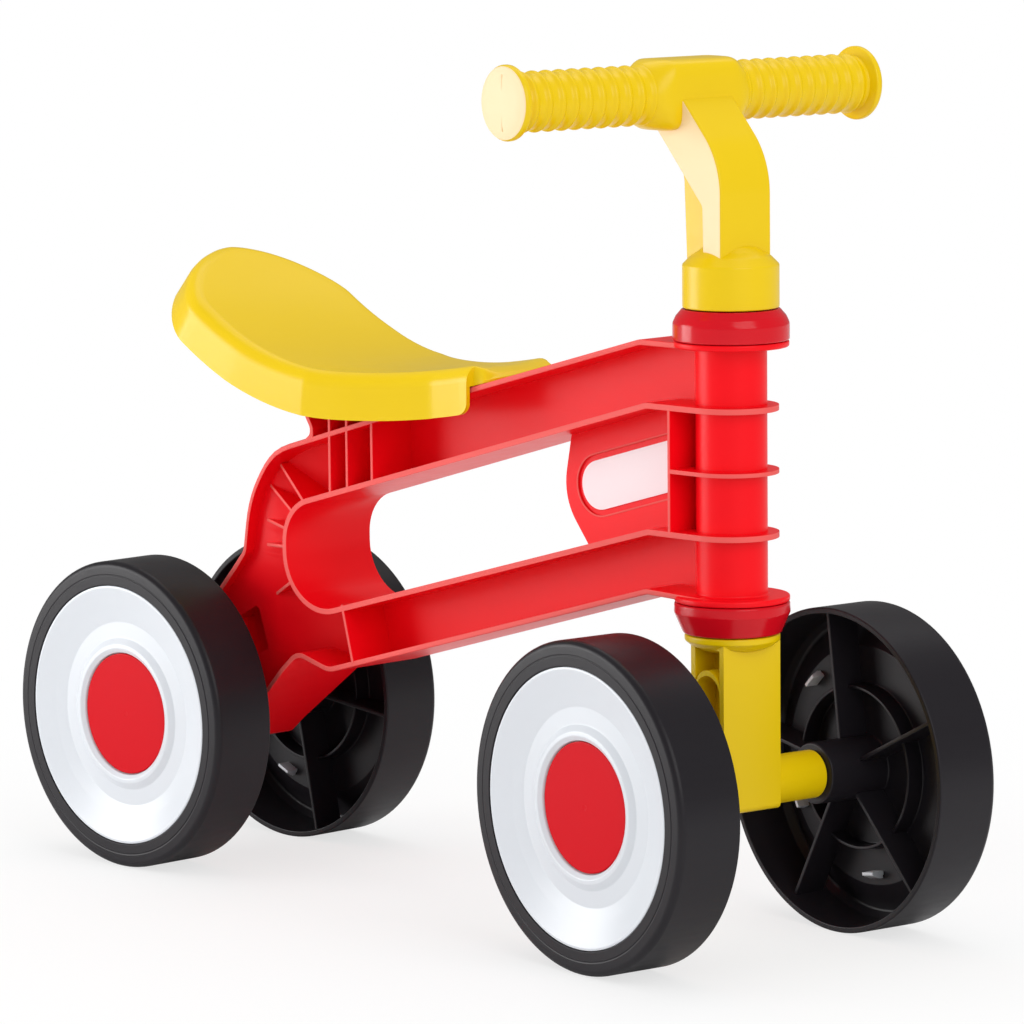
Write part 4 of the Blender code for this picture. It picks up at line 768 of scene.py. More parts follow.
def pedestal_back(rear, beam):
    """The wall that closes the pedestal behind. It springs from the beam in a hollow curve."""
    seat = settings().seat
    top = seat_top(rear) - seat.wall - seat.dish - 0.004
    outline = [
        (rear + 0.0012, top, 0.0), (rear + 0.0012, beam + 0.0130, 0.010), (rear - 0.0034, beam + 0.0060, 0.005),
        (rear - 0.0034, beam + 0.0026, 0.004), (rear + 0.0010, beam - 0.0008, 0.0),
        (rear - 0.0050, beam - 0.0008, 0.0), (rear - 0.0059, beam + 0.0020, 0.002),
        (rear - 0.0059, beam + 0.0062, 0.005), (rear - 0.0018, beam + 0.0130, 0.010), (rear - 0.0018, top, 0.0),
    ]
    half = half_width_at(rear)
    part = plate([rounded(outline)], -half, half)
    # The wall's sides, which look out to either side, take the painted highlight
    give_painted_light(part, 2)
    softened(part, 0.0004)
    return part


def tail_outline(start):
    """The side outline of the thick tail: behind the loop from start, round the outside and back inside."""
    lap = settings().frame.flange / 2
    outer = [p for p in grown(rounded(outer_corners()), -lap) if p.x > start]
    window = [p for p in grown(rounded(window_corners()), lap) if p.x > start]
    side = [Vector((start, back_height(start) - lap))] + outer
    side += [Vector((start, AXLE_Z + 0.0312)), Vector((start, window_height(start, False) - lap))]
    return side + window[::-1] + [Vector((start, window_height(start, True) + lap))]


def tail_parts(whole):
    """The pedestal under the seat, the thick tail with its side pockets, and the rear boss."""
    sizes = settings().frame
    seat = settings().seat
    y, z = REAR.y, AXLE_Z
    rear, front = y - PEDESTAL_BACK_AHEAD, SEAT_LOW_Y - PEDESTAL_FRONT_AHEAD
    under = seat.wall + seat.dish + 0.0009
    top = [(a, seat_top(a) - under) for a in [front + (rear - front) * i / 16 for i in range(17)]]
    beam = back_height(rear)
    foot = [(rear, beam + 0.0120), (rear - 0.0040, beam + 0.0060)]
    foot += [(a, back_height(a) - sizes.flange / 2) for a in (rear - 0.0040, front)]
    half = sizes.web / 2 - 0.0002
    add_to(whole, plate([[Vector(p) for p in top + foot]], -half, half, 0.0004), SIDE)
    add_to(whole, pedestal_back(rear, beam), SIDE)
    pocket = rounded([
        (y - 0.0520, z + 0.0330, 0.003), (y - 0.0440, z + 0.0560, 0.003), (y - 0.0250, z + 0.0460, 0.003),
        (y - 0.0250, z + 0.0260, 0.003),
    ])
    thick, thin = TAIL_HALF_THICKNESS, 0.0008
    part = plate([tail_outline(y - TAIL_STARTS - 0.0005), pocket], -thick, thick, 0.0012)
    everything = part.verts[:] + part.edges[:] + part.faces[:]
    ramp_end = y - TAIL_STARTS + TAIL_RAMP
    bmesh.ops.bisect_plane(part, geom=everything, plane_co=(ramp_end, 0, 0), plane_no=(1, 0, 0))
    for vert in part.verts:
        fade = min(1.0, max(0.0, (vert.co.x - (y - TAIL_STARTS)) / TAIL_RAMP))
        vert.co.z *= (thin + (thick - thin) * fade) / thick
    add_to(whole, part, SIDE)
    add_to(whole, plate([grown(pocket, 0.004)], -thick + 0.009, thick - 0.009), SIDE)
    reach = abs(REAR.x - HEAD.x) - HUB_END_DEPTH - TOUCH_GAP
    axle_tube(whole, sizes.boss_radius, reach, 0.0010, across(y, z))


def frame_ribs(whole):
    """The ribs on the beams and the gussets that fan out behind the loop."""
    sizes = settings().frame
    y, z = REAR.y, AXLE_Z
    for index, place in enumerate((y - 0.1142, y - 0.1269, y - 0.1452)):
        top = back_height(place) - sizes.flange / 2
        if index < 2:
            top = seat_top(place) - settings().seat.wall - settings().seat.dish - 0.004
        add_to(whole, cross_rib(place, window_height(place, True) + sizes.flange / 2, top, half_width_at(place)))
    foot = (y - 0.1222, window_height(y - 0.1222, False) - sizes.flange / 2)
    half = half_width_at(y - 0.1222)
    add_to(whole, gusset(foot, (y - 0.1296, z + 0.0355), half, half))
    ends = [
        ((-0.0930, 0.1157), (-0.0665, 0.1312), 0.0195), ((-0.0840, 0.1096), (-0.0556, 0.1193), 0.0170),
        ((-0.0784, 0.1002), (-0.0452, 0.1012), 0.0135), ((-0.0767, 0.0906), (-0.0424, 0.0871), 0.0123),
        ((-0.0817, 0.0721), (-0.0575, 0.0626), 0.0160),
    ]
    for inner, outer, outer_half in ends:
        start, end = (y + inner[0], z + inner[1]), (y + outer[0], z + outer[1])
        add_to(whole, gusset(start, end, half_width_at(start[0]) - 0.0003, outer_half))


class RIDEON_OT_frame(bpy.types.Operator):
    """Builds the red frame moulding."""

    bl_idname = "ride_on.frame"
    bl_label = "Frame"

    def execute(self, context):
        sizes = settings().frame
        whole = bmesh.new()
        web_parts(whole)
        window = rounded(window_corners(), closed=False)
        add_to(whole, flange(nosed(divided(window, 0.012)), -sizes.flange))
        outer = rounded(outer_corners(), closed=False)
        add_to(whole, flange(divided(outer, 0.012), sizes.flange))
        head_parts(whole)
        tail_parts(whole)
        frame_ribs(whole)
        # The frame's second surface is the painted highlight on its narrow edges
        finished("frame_moulding", whole, "frame", ["red", "edge"], ["frame"], MIDDLE)
        return {"FINISHED"}


class RIDEON_OT_labels(bpy.types.Operator):
    """Builds the blank badge labels."""

    bl_idname = "ride_on.labels"
    bl_label = "Badge labels"

    def execute(self, context):
        sizes = settings().frame
        margin = sizes.label_margin
        long, high = sizes.badge_length - 2 * margin, sizes.badge_height - 2 * margin
        outline = stadium(badge_centre(), long, high, badge_slope())
        limit = HEAD.y + CROSS_PLATE_BEHIND_HEAD + sizes.rib / 2 + TOUCH_GAP
        clipped = [Vector((max(point.x, limit), point.y)) for point in outline]
        floor = sizes.web / 2 - sizes.badge_recess + 0.0002
        for side, hand in HANDS:
            low, high = sorted((side * floor, side * (floor + 0.0005)))
            whole = bmesh.new()
            add_to(whole, plate([clipped], low, high, 0.0001), MIDDLE @ SIDE)
            finished(f"label_{hand}", whole, "frame", ["label"], [f"badge_label_{hand}"])
        return {"FINISHED"}


# Seat


def seat_rim():
    """Half of the top's rim seen from above, as (x, y) points from the nose round to the back."""
    sizes = settings().seat
    front = SEAT_LOW_Y - sizes.ahead
    tip = front - sizes.nose + sizes.edge * 0.7
    narrow, wide = sizes.front_half_width - sizes.edge, sizes.half_width - sizes.edge
    back = SEAT_LOW_Y + sizes.behind - sizes.back_rounding
    corners = [(0.0, tip, 0.0), (sizes.nose_half_width - 0.0055, tip, 0.012)]
    shares = (-0.03, 0.0, 0.02, 0.06, 0.13, 0.24, 0.4, 0.6, 0.8, 1.0)
    corners += [(narrow, front + sizes.skirt_corner * portion, 0.0) for portion in shares]
    corners += [
        (narrow + 0.001, front + 0.0265, 0.030), (wide - 0.0033, SEAT_LOW_Y + 0.017, 0.006),
        (wide, SEAT_LOW_Y + 0.061, 0.060), (wide, back, 0.0),
    ]
    points = divided(rounded(corners, 5, closed=False), 0.006)
    steps = 26
    for step in range(1, steps + 1):
        along = math.sin(math.pi / 2 * step / steps)
        narrowing = max(0.0, 1 - along**1.6) ** (1 / 1.6)
        points.append(Vector((wide * narrowing if step < steps else 0.0, back + sizes.back_rounding * along)))
    return points


def seat_rings():
    """Rings of points from the foot of the skirt up over the edge to the middle, and the same inside."""
    sizes = settings().seat
    half = seat_rim()
    rim = half + [Vector((-p.x, p.y)) for p in reversed(half[1:-1])]
    outward = [(g - p) / 0.001 for g, p in zip(grown(rim, 0.001), rim)]
    front = SEAT_LOW_Y - sizes.ahead
    spine = (front + 0.004, SEAT_LOW_Y + sizes.behind - 0.037)

    def reach(point):
        if point.y > front - 1e-5:
            return sizes.edge
        side = sizes.nose_half_width - sizes.front_half_width + sizes.edge
        return side + (sizes.edge * 0.7 - side) * (front - point.y) / (front - half[0].y)

    def skirt(point):
        corner = sizes.skirt_corner
        into = min(point.y - front, corner)
        return sizes.skirt - corner + math.sqrt(max(0.0, into * (2 * corner - into)))

    def ring(part, drop, floor):
        """The rim moved outwards by a part of its reach and down, square to the top's slope. None is the foot."""
        points = []
        for point, out in zip(rim, outward):
            rise = min(max(point.y - SEAT_LOW_Y, 0.0), SEAT_CURVED_BEHIND)
            lean = sizes.lean * math.atan(2 * sizes.rise * rise)
            away = part * reach(point)
            on_nose = point.y < front + 1e-5
            down = (0.0 if on_nose else skirt(point)) if drop is None else drop
            if not on_nose:
                down = min(down, skirt(point))
            y = point.y + out.y * away * math.cos(lean) + down * math.sin(lean)
            z = seat_top(point.y) + out.y * away * math.sin(lean) - down * math.cos(lean)
            if on_nose:
                rest = back_height(y) + TOUCH_GAP
                z = rest if drop is None else max(z, rest + floor)
            points.append(Vector((point.x + out.x * away, y, z)))
        return points

    def inner_ring(portion, drop, floor):
        points = []
        for point in rim:
            middle = min(max(point.y, spine[0]), spine[1])
            x, y = point.x * portion, middle + (point.y - middle) * portion
            rest = back_height(y) + TOUCH_GAP + floor if y < front else 0.0
            points.append(Vector((x, y, max(rest, seat_top(y) - sizes.dish * (1 - portion**2) - drop))))
        return points

    shoulder, edge = sizes.shoulder, sizes.edge
    over = [(1.0, 1.0, 0.0012), (0.94, 0.725, 0.0014), (0.81, 0.49, 0.0016), (0.625, 0.29, 0.0018)]
    over += [(0.41, 0.145, 0.0020), (0.19, 0.056, 0.0021)]
    outside = [ring(1.0, None, 0.0)] + [ring(part, shoulder * down, floor) for part, down, floor in over]
    outside += [inner_ring(portion, 0.0, 0.0022) for portion in (1.0, 0.96, 0.88, 0.75, 0.6, 0.45, 0.3, 0.15)]
    within = 1 - sizes.wall / edge
    inside = [ring(within, None, 0.0), ring(within, shoulder + sizes.wall, 0.0004)]
    inside += [inner_ring(portion, sizes.wall, 0.0006) for portion in (0.97, 0.88, 0.72, 0.5, 0.3, 0.15)]
    return list(reversed(inside)) + outside


class RIDEON_OT_seat(bpy.types.Operator):
    """Builds the yellow seat."""

    bl_idname = "ride_on.seat"
    bl_label = "Seat"

    def execute(self, context):
        whole = bmesh.new()
        add_to(whole, lofted(seat_rings()), MIDDLE)
        bmesh.ops.remove_doubles(whole, verts=whole.verts, dist=WELD)
        finished("seat_moulding", whole, "frame", ["yellow"], ["seat"])
        return {"FINISHED"}


# Collars, fork and handlebar


class RIDEON_OT_collars(bpy.types.Operator):
    """Builds the red collars above and below the head."""

    bl_idname = "ride_on.collars"
    bl_label = "Collars"

    def execute(self, context):
        r = settings().steering.collar_radius
        upper = [(0.0235, 0.0, 0.0012), (r - 0.0015, 0.0035, 0.004), (r, 0.0068, 0.004), (r, None, 0.0008)]
        lower = [(r - 0.0002, 0.0, 0.0012), (r, 0.0050, 0.0025), (0.0237, None, 0.0012)]
        for name, outside in (("upper_collar", upper), ("lower_collar", lower)):
            low, high = (v.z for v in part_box(name))
            profile = [(a, low if drop is None else high - drop, rounding) for a, drop, rounding in outside]
            whole = bmesh.new()
            section = [(COLLAR_BORE, high, 0.0), *profile, (COLLAR_BORE, low, 0.0)]
            lathed(whole, section, 12, 96, MIDDLE @ Matrix.Translation((0, HEAD.y, 0)))
            finished(f"{name}_ring", whole, "frame", ["collar"], [name])
        return {"FINISHED"}


class RIDEON_OT_fork(bpy.types.Operator):
    """Builds the yellow fork with its crown, hollow-sided leg and cross tube."""

    bl_idname = "ride_on.fork"
    bl_label = "Fork"

    def execute(self, context):
        sizes = settings().steering
        whole = bmesh.new()
        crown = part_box("lower_collar")[0].z - 0.0005
        r, c = FORK_TUBE, sizes.crown_radius
        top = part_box("fork")[1].z
        stem = [
            (FORK_TUBE_BORE, top, 0.0), (r, top, 0.0010), (r, crown, 0.0), (c, crown, 0.0010),
            (c, crown - 0.0030, 0.0012), (c - 0.0030, crown - 0.0055, 0.003), (c - 0.0100, crown - 0.0085, 0.006),
            (0.0, crown - 0.0090, 0.0),
        ]
        inside = [Vector((0.0, crown + 0.004)), Vector((FORK_TUBE_BORE, crown + 0.004))]
        add_to(whole, turned(inside + rounded(stem, 12, closed=False), 96))
        front, rear, wall = LEG_FRONT, LEG_BACK, sizes.leg_wall
        foot, high = AXLE_Z - 0.0115, crown - 0.0035
        half = sizes.leg_half_width
        outer = rounded([(front, foot, 0.003), (rear, foot, 0.003), (rear, high, 0.0), (front, high, 0.0)])
        ledge = AXLE_Z + sizes.cross_tube_radius + 0.004
        inner_front, inner_rear = front + wall, rear - wall
        middle = (inner_front + inner_rear) / 2
        arch = 0.0092
        spring = crown - 0.0190 - arch
        angles = [math.pi - math.pi * i / 20 for i in range(21)]

        def bend(foot, rise):
            return [Vector((middle + arch * math.cos(a), foot + rise * math.sin(a))) for a in angles]

        lower = [Vector((inner_front, ledge)), *bend(spring, arch), Vector((inner_rear, ledge))]
        lid = crown - 0.0060
        upper = bend(spring + 0.0024, arch * 1.02) + [Vector((inner_rear, lid)), Vector((inner_front, lid))]
        add_to(whole, plate([outer, lower, upper], -half, half, 0.0008, 3), SIDE)
        core = [Vector((front + 0.001, foot + 0.002)), Vector((rear - 0.001, foot + 0.002))]
        core += [Vector((rear - 0.001, high - 0.001)), Vector((front + 0.001, high - 0.001))]
        add_to(whole, plate([core], -0.0055, 0.0055), SIDE)
        axle = STEERED.inverted() @ Vector(JOINTS["front_right_wheel_spin"]["pos_m"])
        reach = abs(axle.x) - HUB_END_DEPTH - TOUCH_GAP
        axle_tube(whole, sizes.cross_tube_radius, reach, 0.0008, across(axle.y, AXLE_Z))
        finished("fork_moulding", whole, "steering", ["yellow"], ["fork"], STEERED)
        return {"FINISHED"}


def grip_profile():
    """One end of the bar, as (radius, distance from the middle), from the tip down to the block."""
    sizes = settings().steering
    tip = sizes.bar_length / 2
    e, r, g = sizes.end_radius, sizes.grip_radius, sizes.grip_groove
    inner = tip - 0.0050
    corners = [
        (0.0, tip, 0.0), (e * 0.70, tip - 0.0005, 0.020), (e - 0.0008, tip - 0.0014, 0.001),
        (e, tip - 0.0028, 0.001), (e, inner, 0.001), (r - g + 0.0004, inner - 0.0014, 0.001),
    ]
    points = rounded(corners, 15, closed=False)
    steps = 12
    start = inner - 0.0020
    for i in range(1, sizes.grip_ridges * steps + 1):
        phase = i / steps
        height = 0.5 - 0.5 * math.cos(2 * math.pi * phase)
        points.append(Vector((r - g + g * height**2.6, start - phase * sizes.grip_pitch)))
    return points


class RIDEON_OT_handlebar(bpy.types.Operator):
    """Builds the yellow handlebar with its socket, swept stem, block and ribbed grips."""

    bl_idname = "ride_on.handlebar"
    bl_label = "Handlebar"

    def execute(self, context):
        sizes = settings().steering
        whole = bmesh.new()
        bar_z = HEAD_TOP - TOUCH_GAP + sizes.bar_above_head
        back = sizes.bar_setback
        half = grip_profile()
        profile = [(p.x, p.y) for p in half] + [(p.x, -p.y) for p in reversed(half)]
        part = turned(profile, 96)
        tip = sizes.bar_length / 2
        # The grip ends' flat faces take the painted sheen
        for face in part.faces:
            centre = face.calc_center_median()
            if abs(centre.z) > tip - 0.0016 and math.hypot(centre.x, centre.y) < sizes.end_radius - 0.0006:
                face.material_index = PAINTED_LIGHT_SLOT
        add_to(whole, part, across(back, bar_z))
        # Thin strips at the bar's tips take the painted sheen
        for side in (-1, 1):
            low, high = sorted((side * (tip - 0.0020), side * (tip - 0.0002)))
            add_to(whole, slab((-0.0135, -0.0004, low), (0.0135, 0.0004, high), 0.0003), across(back, bar_z), 1)
        add_to(whole, lofted(self.block_rings()), across(back, bar_z))
        self.stem(whole, bar_z, back)
        self.socket(whole)
        # The second surface is the painted sheen on the ends and the stem's sides
        kinds = ["yellow", "painted_sheen"]
        finished("handlebar_moulding", whole, "steering", kinds, ["handlebar"], STEERED)
        return {"FINISHED"}

    def block_rings(self):
        """Rings along the bar, round where they meet the grips and nearly square in the middle."""
        sizes = settings().steering
        h, end = sizes.block_size / 2, sizes.block_half
        half = [(end, 0.835, 2.0), (end - 0.0004, 0.855, 2.0), (end - 0.0018, 0.90, 2.2), (end - 0.0040, 0.95, 2.6)]
        half += [(end - 0.0065, 0.985, 3.3), (end - 0.0090, 1.0, 4.4), (end - 0.0110, 1.0, 5.0)]
        rings = []
        for along, size, power in [(-a, s, p) for a, s, p in half] + list(reversed(half)):
            ring = []
            for i in range(72):
                c, s = math.cos(2 * math.pi * i / 72), math.sin(2 * math.pi * i / 72)
                x, y = (math.copysign(abs(v) ** (2 / power), v) * h * size for v in (c, s))
                ring.append(Vector((x, y, along)))
            rings.append(ring)
        return rings

    def stem(self, whole, bar_z, back):
        """The flat-faced stem that sweeps back to the block, and the narrower spine behind it."""
        sizes = settings().steering
        elbow = bar_z - 0.0301
        foot = self.socket_top() - 0.002
        outline = [
            (STEM_FRONT, foot, 0.0), (STEM_FRONT, elbow, 0.040), (back - 0.0115, bar_z + 0.0040, 0.0),
            (back + 0.0063, bar_z - 0.0140, 0.0), (STEM_BACK + 0.0005, elbow - 0.0220, 0.004),
            (STEM_BACK, foot, 0.0),
        ]
        w = sizes.stem_half_width
        part = plate([rounded(outline, 3)], -w, w)
        # The stem's sides take the painted sheen
        give_painted_light(part, 2)
        softened(part, 0.0012, 3)
        add_to(whole, part, SIDE)
        spine = [
            (STEM_BACK - 0.002, foot, 0.0), (STEM_BACK - 0.002, bar_z - 0.0300, 0.0),
            (back + 0.0063, bar_z - 0.0140, 0.0), (0.0225, bar_z - 0.0385, 0.010), (0.0205, foot, 0.0),
        ]
        add_to(whole, plate([rounded(spine, 3)], -0.0105, 0.0105, 0.0010, 3), SIDE)

    def socket_top(self):
        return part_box("handlebar")[0].z + settings().steering.socket_height

    def socket(self, whole):
        sizes = settings().steering
        r = sizes.socket_radius
        low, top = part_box("handlebar")[0].z, self.socket_top()
        dome = 0.0105
        profile = [
            (SOCKET_BORE, low, 0.0), (r, low, 0.0008), (r, top, 0.0016), (r * 0.83, top + dome * 0.38, 0.006),
            (r * 0.67, top + dome * 0.60, 0.006), (r * 0.50, top + dome * 0.90, 0.006), (0.0, top + dome, 0.0),
        ]
        skin = rounded(profile, 8, closed=False)
        inside = [Vector((SOCKET_BORE, top - 0.0040)), Vector((0.0, top - 0.0040))]
        add_to(whole, turned(list(reversed(skin)) + inside, 96))


# Wheels


def wheel_place(name, side, steered):
    """The frame of a wheel's rim face: +Z points outwards along its axle."""
    turn = STEERED if steered else Matrix.Identity(4)
    place = Matrix.Translation(JOINTS[f"{name}_wheel_spin"]["pos_m"])
    return place @ turn.to_3x3().to_4x4() @ Matrix.Rotation(side * math.pi / 2, 4, "Y")


def wheel_corners():
    """The black moulding in section: sidewall, tread, inner face and hub."""
    sizes = settings().wheel
    r, s = sizes.radius, sizes.shoulder
    lip = sizes.disc_radius + TOUCH_GAP
    back, face = 0.0130, 0.0100
    hub, bore, deep = sizes.hub_radius, HUB_BORE, HUB_END_DEPTH
    w = sizes.width
    return [
        (lip, 0.0, 0.0004), (lip + 0.0047, 0.0, 0.0006), (lip + 0.0052, -0.0003, 0.0005),
        (lip + 0.0058, -0.0001, 0.0006), (r, -0.0004, s), (r, -w, 0.0008), (r - sizes.wall, -w, 0.0006),
        (r - sizes.wall - 0.001, -s - 0.003, 0.002), (r - s, -s * 0.8, 0.002), (lip - 0.0085, -back, 0.001),
        (0.0408, -back, 0.0008), (0.0406, -back - 0.0090, 0.0005), (0.0390, -back - 0.0090, 0.0005),
        (0.0388, -back, 0.0008), (hub + 0.0005, -back, 0.001), (hub, -deep, 0.0008), (bore, -deep, 0.0003),
        (bore, -0.0120, 0.0003), (hub - 0.0015, -0.0120, 0.0003), (hub - 0.0015, -face, 0.0003),
        (lip - 0.0102, -face, 0.001), (lip - 0.0034, -0.0026, 0.0005), (lip, -0.0026, 0.0003),
    ]


def hook_angle(index):
    """The hooks stand midway between spokes, in neighbouring gaps."""
    return 2 * math.pi * (index + 1.5) / settings().wheel.spokes


def tyre_parts(whole, place):
    sizes = settings().wheel
    lathed(whole, wheel_corners(), 12, 128, place)
    for index in range(sizes.spokes):
        low = (sizes.hub_radius - 0.001, -sizes.spoke / 2, -0.0300)
        high = (sizes.radius - sizes.wall + 0.0008, sizes.spoke / 2, -0.0125)
        turn = Matrix.Rotation(2 * math.pi * index / sizes.spokes, 4, "Z")
        add_to(whole, slab(low, high, 0.0004), place @ turn)


def disc_corners():
    """The white disc in section, from its rim in to the seat of the cap and back behind."""
    sizes = settings().wheel
    r, t, d, g = sizes.disc_radius, sizes.trough_radius, sizes.trough_depth, sizes.ring_radius
    c = sizes.cap_radius
    seat = sizes.cap_depth + 0.0018
    hole, floor = DISC_HOLE, DISC_FLOOR
    return [
        (hole, -seat, 0.0), (c + 0.0003, -seat, 0.0), (c + 0.0006, -sizes.cap_depth + 0.0006, 0.0004),
        (c + 0.0028, -d + 0.0026, 0.0012), (g - 0.0012, -d + 0.0024, 0.0020), (g + 0.0022, -d + 0.0004, 0.0015),
        (t, -d, 0.0020), (t + 0.0070, -d * 0.66, 0.0200), (r - 0.0012, -0.0002, 0.0010), (r, -0.0004, 0.0004),
        (r, -0.0020, 0.0003), (r - 0.0034, -0.0020, 0.0003), (t + 0.0065, -d * 0.72 - 0.0020, 0.001),
        (t, -floor, 0.001), (hole, -floor, 0.0),
    ]


def disc_parts(whole, place):
    sizes = settings().wheel
    lathed(whole, disc_corners(), 6, 128, place)
    start, inside, outside, barb, end = -sizes.trough_depth - 0.0010, HOOK_INSIDE, HOOK_OUTSIDE, HOOK_BARB, HOOK_END
    corners = [(inside, start), (inside, end), (outside - 0.0004, end), (outside + 0.0016, barb - 0.002)]
    corners += [(outside + 0.0016, barb), (outside, barb), (outside, start)]
    outline = [Vector(corner) for corner in corners]
    for index in range(sizes.hooks):
        turn = Matrix.Rotation(hook_angle(index), 4, "Z")
        add_to(whole, plate([outline], -0.0040, 0.0040, 0.0003), place @ turn @ FRONT)


def cap_parts(whole, place):
    """The red cap with its soft rim and the small gate mark in its middle."""
    sizes = settings().wheel
    c, d = sizes.cap_radius, sizes.cap_depth
    spigot, under, floor = CAP_SPIGOT, d + 0.0015, DISC_FLOOR
    profile = [
        (0.0, -d - 0.0001, 0.0), (0.0012, -d - 0.0001, 0.0002), (0.0014, -d, 0.0002), (c, -d, 0.0009),
        (c, -under, 0.0), (spigot, -under, 0.0), (spigot, -floor, 0.0003), (spigot - 0.0018, -floor, 0.0003),
        (spigot - 0.0018, -under, 0.0), (0.0, -under, 0.0),
    ]
    lathed(whole, profile, 12, 128, place, False)


class RIDEON_OT_wheels(bpy.types.Operator):
    """Builds the four black wheels with their white discs and red caps."""

    bl_idname = "ride_on.wheels"
    bl_label = "Wheels"

    def execute(self, context):
        for end in ("front", "rear"):
            for side, hand in HANDS:
                name = f"{end}_{hand}"
                place = wheel_place(name, side, end == "front")
                place = place @ Matrix.Rotation(PARKED_WHEEL_TURNS.get(name, 0.0), 4, "Z")
                body = f"{name}_wheel"
                for part, parts, slot, kind in (
                    ("wheel", tyre_parts, "black_plastic", "black"),
                    ("disc", disc_parts, "white_plastic", "white"),
                    ("cap", cap_parts, "cap_red", "cap"),
                ):
                    whole = bmesh.new()
                    parts(whole, place)
                    finished(f"{name}_{part}_moulding", whole, body, [kind], [f"{name}_{part}"])
        return {"FINISHED"}


class RIDEON_OT_metal(bpy.types.Operator):
    """Gives the axles, washers, push nuts and lock pin their plated finish."""

    bl_idname = "ride_on.metal"
    bl_label = "Axles and small metal parts"

    def execute(self, context):
        metal = [n for n in frame["nodes"] if n.endswith(("_axle", "_washer", "_push_nut", "_pin"))]
        for name in metal:
            mesh = frame["nodes"][name].data
            mesh.materials.clear()
            mesh.materials.append(surface("zinc"))
        return {"FINISHED"}


# Stage


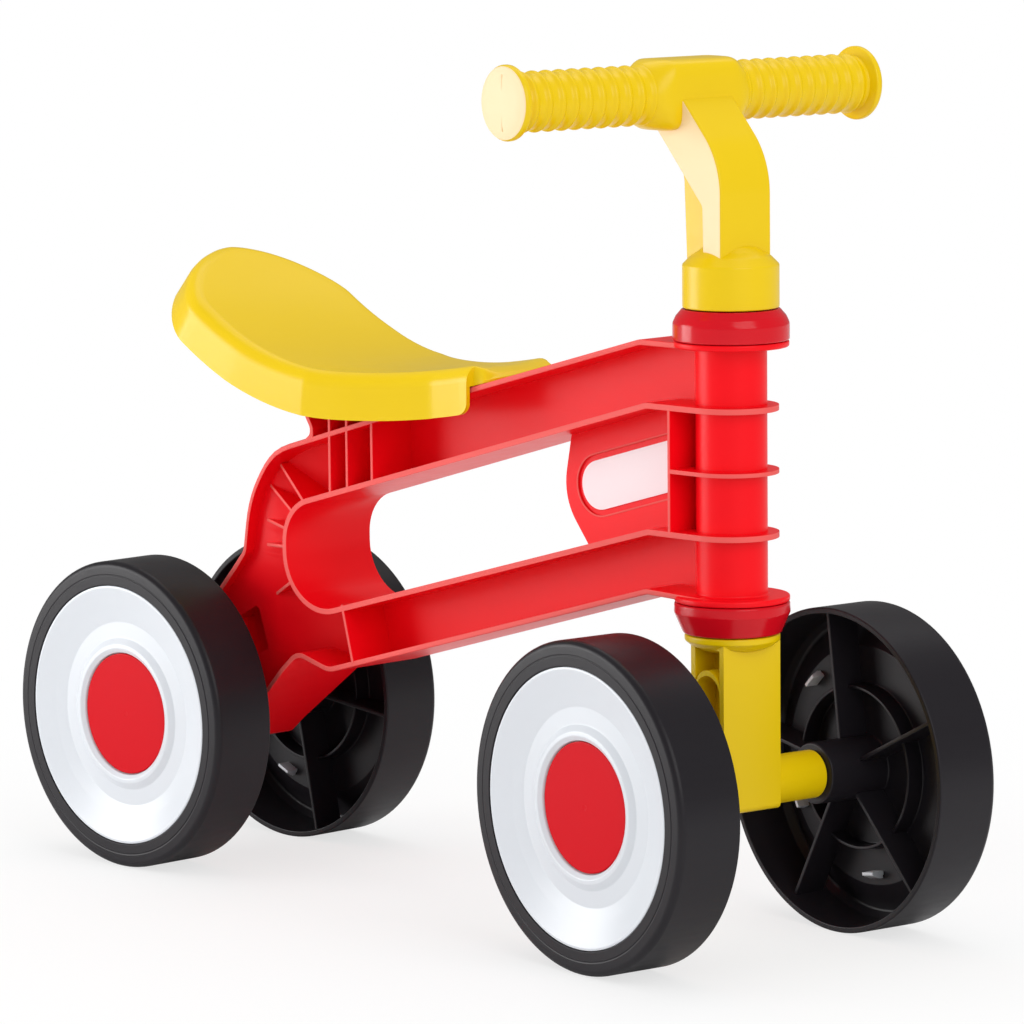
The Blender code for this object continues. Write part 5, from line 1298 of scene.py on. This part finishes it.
class RIDEON_OT_stage(bpy.types.Operator):
    """Builds the floor, the lights and the camera."""

    bl_idname = "ride_on.stage"
    bl_label = "Stage"

    def execute(self, context):
        self.floor()
        self.lights()
        self.camera(context.scene)
        context.scene.view_settings.view_transform = "Standard"
        return {"FINISHED"}

    def floor(self):
        stage = settings().stage
        part = bmesh.new()
        bmesh.ops.create_grid(part, x_segments=8, y_segments=8, size=9.0)
        mesh = bpy.data.meshes.new("floor")
        part.to_mesh(mesh)
        part.free()
        floor = bpy.data.objects.new("floor", mesh)
        bpy.context.scene.collection.objects.link(floor)
        material = bpy.data.materials.new("studio_floor")
        material.use_nodes = True
        tree = material.node_tree
        tree.nodes.remove(tree.nodes["Principled BSDF"])
        matt = node(tree, "BsdfDiffuse", {"Color": (*stage.floor, 1.0)}).outputs[0]
        glow = node(tree, "Emission", {"Color": WHITE}).outputs[0]
        place = node(tree, "TexCoord").outputs["Object"]
        away = node(tree, "VectorMath", {0: place}, operation="LENGTH").outputs["Value"]
        values = {"Value": away, "From Min": 0.15, "From Max": 0.75, "To Min": 1.0 - stage.shadow, "To Max": 1.0}
        fade = node(tree, "MapRange", values, interpolation_type="SMOOTHSTEP").outputs["Result"]
        direct = node(tree, "LightPath").outputs["Is Camera Ray"]
        seen = node(tree, "Math", {0: direct, 1: fade}, operation="MULTIPLY").outputs[0]
        blend = node(tree, "MixShader", {"Fac": seen, 1: matt, 2: glow}).outputs[0]
        tree.links.new(blend, tree.nodes["Material Output"].inputs["Surface"])
        mesh.materials.append(material)

    def lights(self):
        stage = settings().stage
        target = Vector((0, 0, 0.2))
        for name, place, size, power in (
            ("key", (-0.6, -2.4, 1.5), 1.8, stage.key),
            ("rim", (-1.2, 1.5, 0.4), 1.0, stage.rim),
            ("top", (0.6, 0.4, 2.4), 2.0, stage.top),
        ):
            light = bpy.data.lights.new(name, "AREA")
            light.shape = "SQUARE"
            light.size = size
            light.energy = power
            lamp = bpy.data.objects.new(name, light)
            lamp.location = place
            lamp.rotation_euler = (target - Vector(place)).to_track_quat("-Z", "Y").to_euler()
            bpy.context.scene.collection.objects.link(lamp)
        world = bpy.data.worlds.new("studio")
        bpy.context.scene.world = world
        world.use_nodes = True
        tree = world.node_tree
        path = node(tree, "LightPath").outputs
        values = {0: path["Is Glossy Ray"], 1: stage.fill * (stage.sheen - 1.0), 2: stage.fill}
        strength = node(tree, "Math", values, operation="MULTIPLY_ADD").outputs[0]
        shade, white = tree.nodes["Background"], node(tree, "Background", {"Color": WHITE})
        shade.inputs["Color"].default_value = WHITE
        tree.links.new(strength, shade.inputs["Strength"])
        values = {"Fac": path["Is Camera Ray"], 1: shade.outputs[0], 2: white.outputs[0]}
        tree.links.new(node(tree, "MixShader", values).outputs[0], tree.nodes["World Output"].inputs["Surface"])

    def camera(self, scene):
        data = bpy.data.cameras.new("camera")
        data.sensor_width = 36.0
        data.lens = CAMERA_LENS
        data.clip_end = 30.0
        camera = bpy.data.objects.new("camera", data)
        scene.collection.objects.link(camera)
        heading, elevation, roll = (math.radians(angle) for angle in CAMERA_ANGLES)
        turn = Matrix.Rotation(heading, 4, "Z") @ Matrix.Rotation(math.pi / 2 - elevation, 4, "X")
        camera.matrix_world = Matrix.Translation(CAMERA_PLACE) @ turn @ Matrix.Rotation(roll, 4, "Z")
        scene.camera = camera


class RIDEON_PT_panel(bpy.types.Panel):
    """Lists the ride-on's operators and settings."""

    bl_idname = "RIDEON_PT_panel"
    bl_label = "Ride-on"
    bl_space_type = "VIEW_3D"
    bl_region_type = "UI"
    bl_category = "Ride-on"

    def draw(self, context):
        layout = self.layout
        for operator in OPERATORS:
            layout.operator(operator.bl_idname)
        for group in ("frame", "seat", "wheel", "steering", "finish", "stage"):
            box = layout.box()
            box.label(text=group.capitalize())
            values = getattr(settings(), group)
            for name in values.__annotations__:
                box.prop(values, name)


OPERATORS = (
    RIDEON_OT_stage, RIDEON_OT_frame, RIDEON_OT_labels, RIDEON_OT_seat, RIDEON_OT_collars, RIDEON_OT_fork,
    RIDEON_OT_handlebar, RIDEON_OT_wheels, RIDEON_OT_metal,
)
CLASSES = (
    RIDEON_PG_frame, RIDEON_PG_seat, RIDEON_PG_wheel, RIDEON_PG_steering, RIDEON_PG_finish, RIDEON_PG_stage,
    RIDEON_PG_settings, *OPERATORS, RIDEON_PT_panel,
)


def register():
    for item in CLASSES:
        bpy.utils.register_class(item)
    described = PointerProperty(type=RIDEON_PG_settings, name="Ride-on", description="Sizes and colours")
    bpy.types.Scene.ride_on = described


def unregister():
    del bpy.types.Scene.ride_on
    for item in reversed(CLASSES):
        bpy.utils.unregister_class(item)


def main():
    register()
    bpy.ops.ride_on.stage()
    bpy.ops.ride_on.frame()
    bpy.ops.ride_on.labels()
    bpy.ops.ride_on.seat()
    bpy.ops.ride_on.collars()
    bpy.ops.ride_on.fork()
    bpy.ops.ride_on.handlebar()
    bpy.ops.ride_on.wheels()
    bpy.ops.ride_on.metal()


if __name__ == "__main__":
    main()
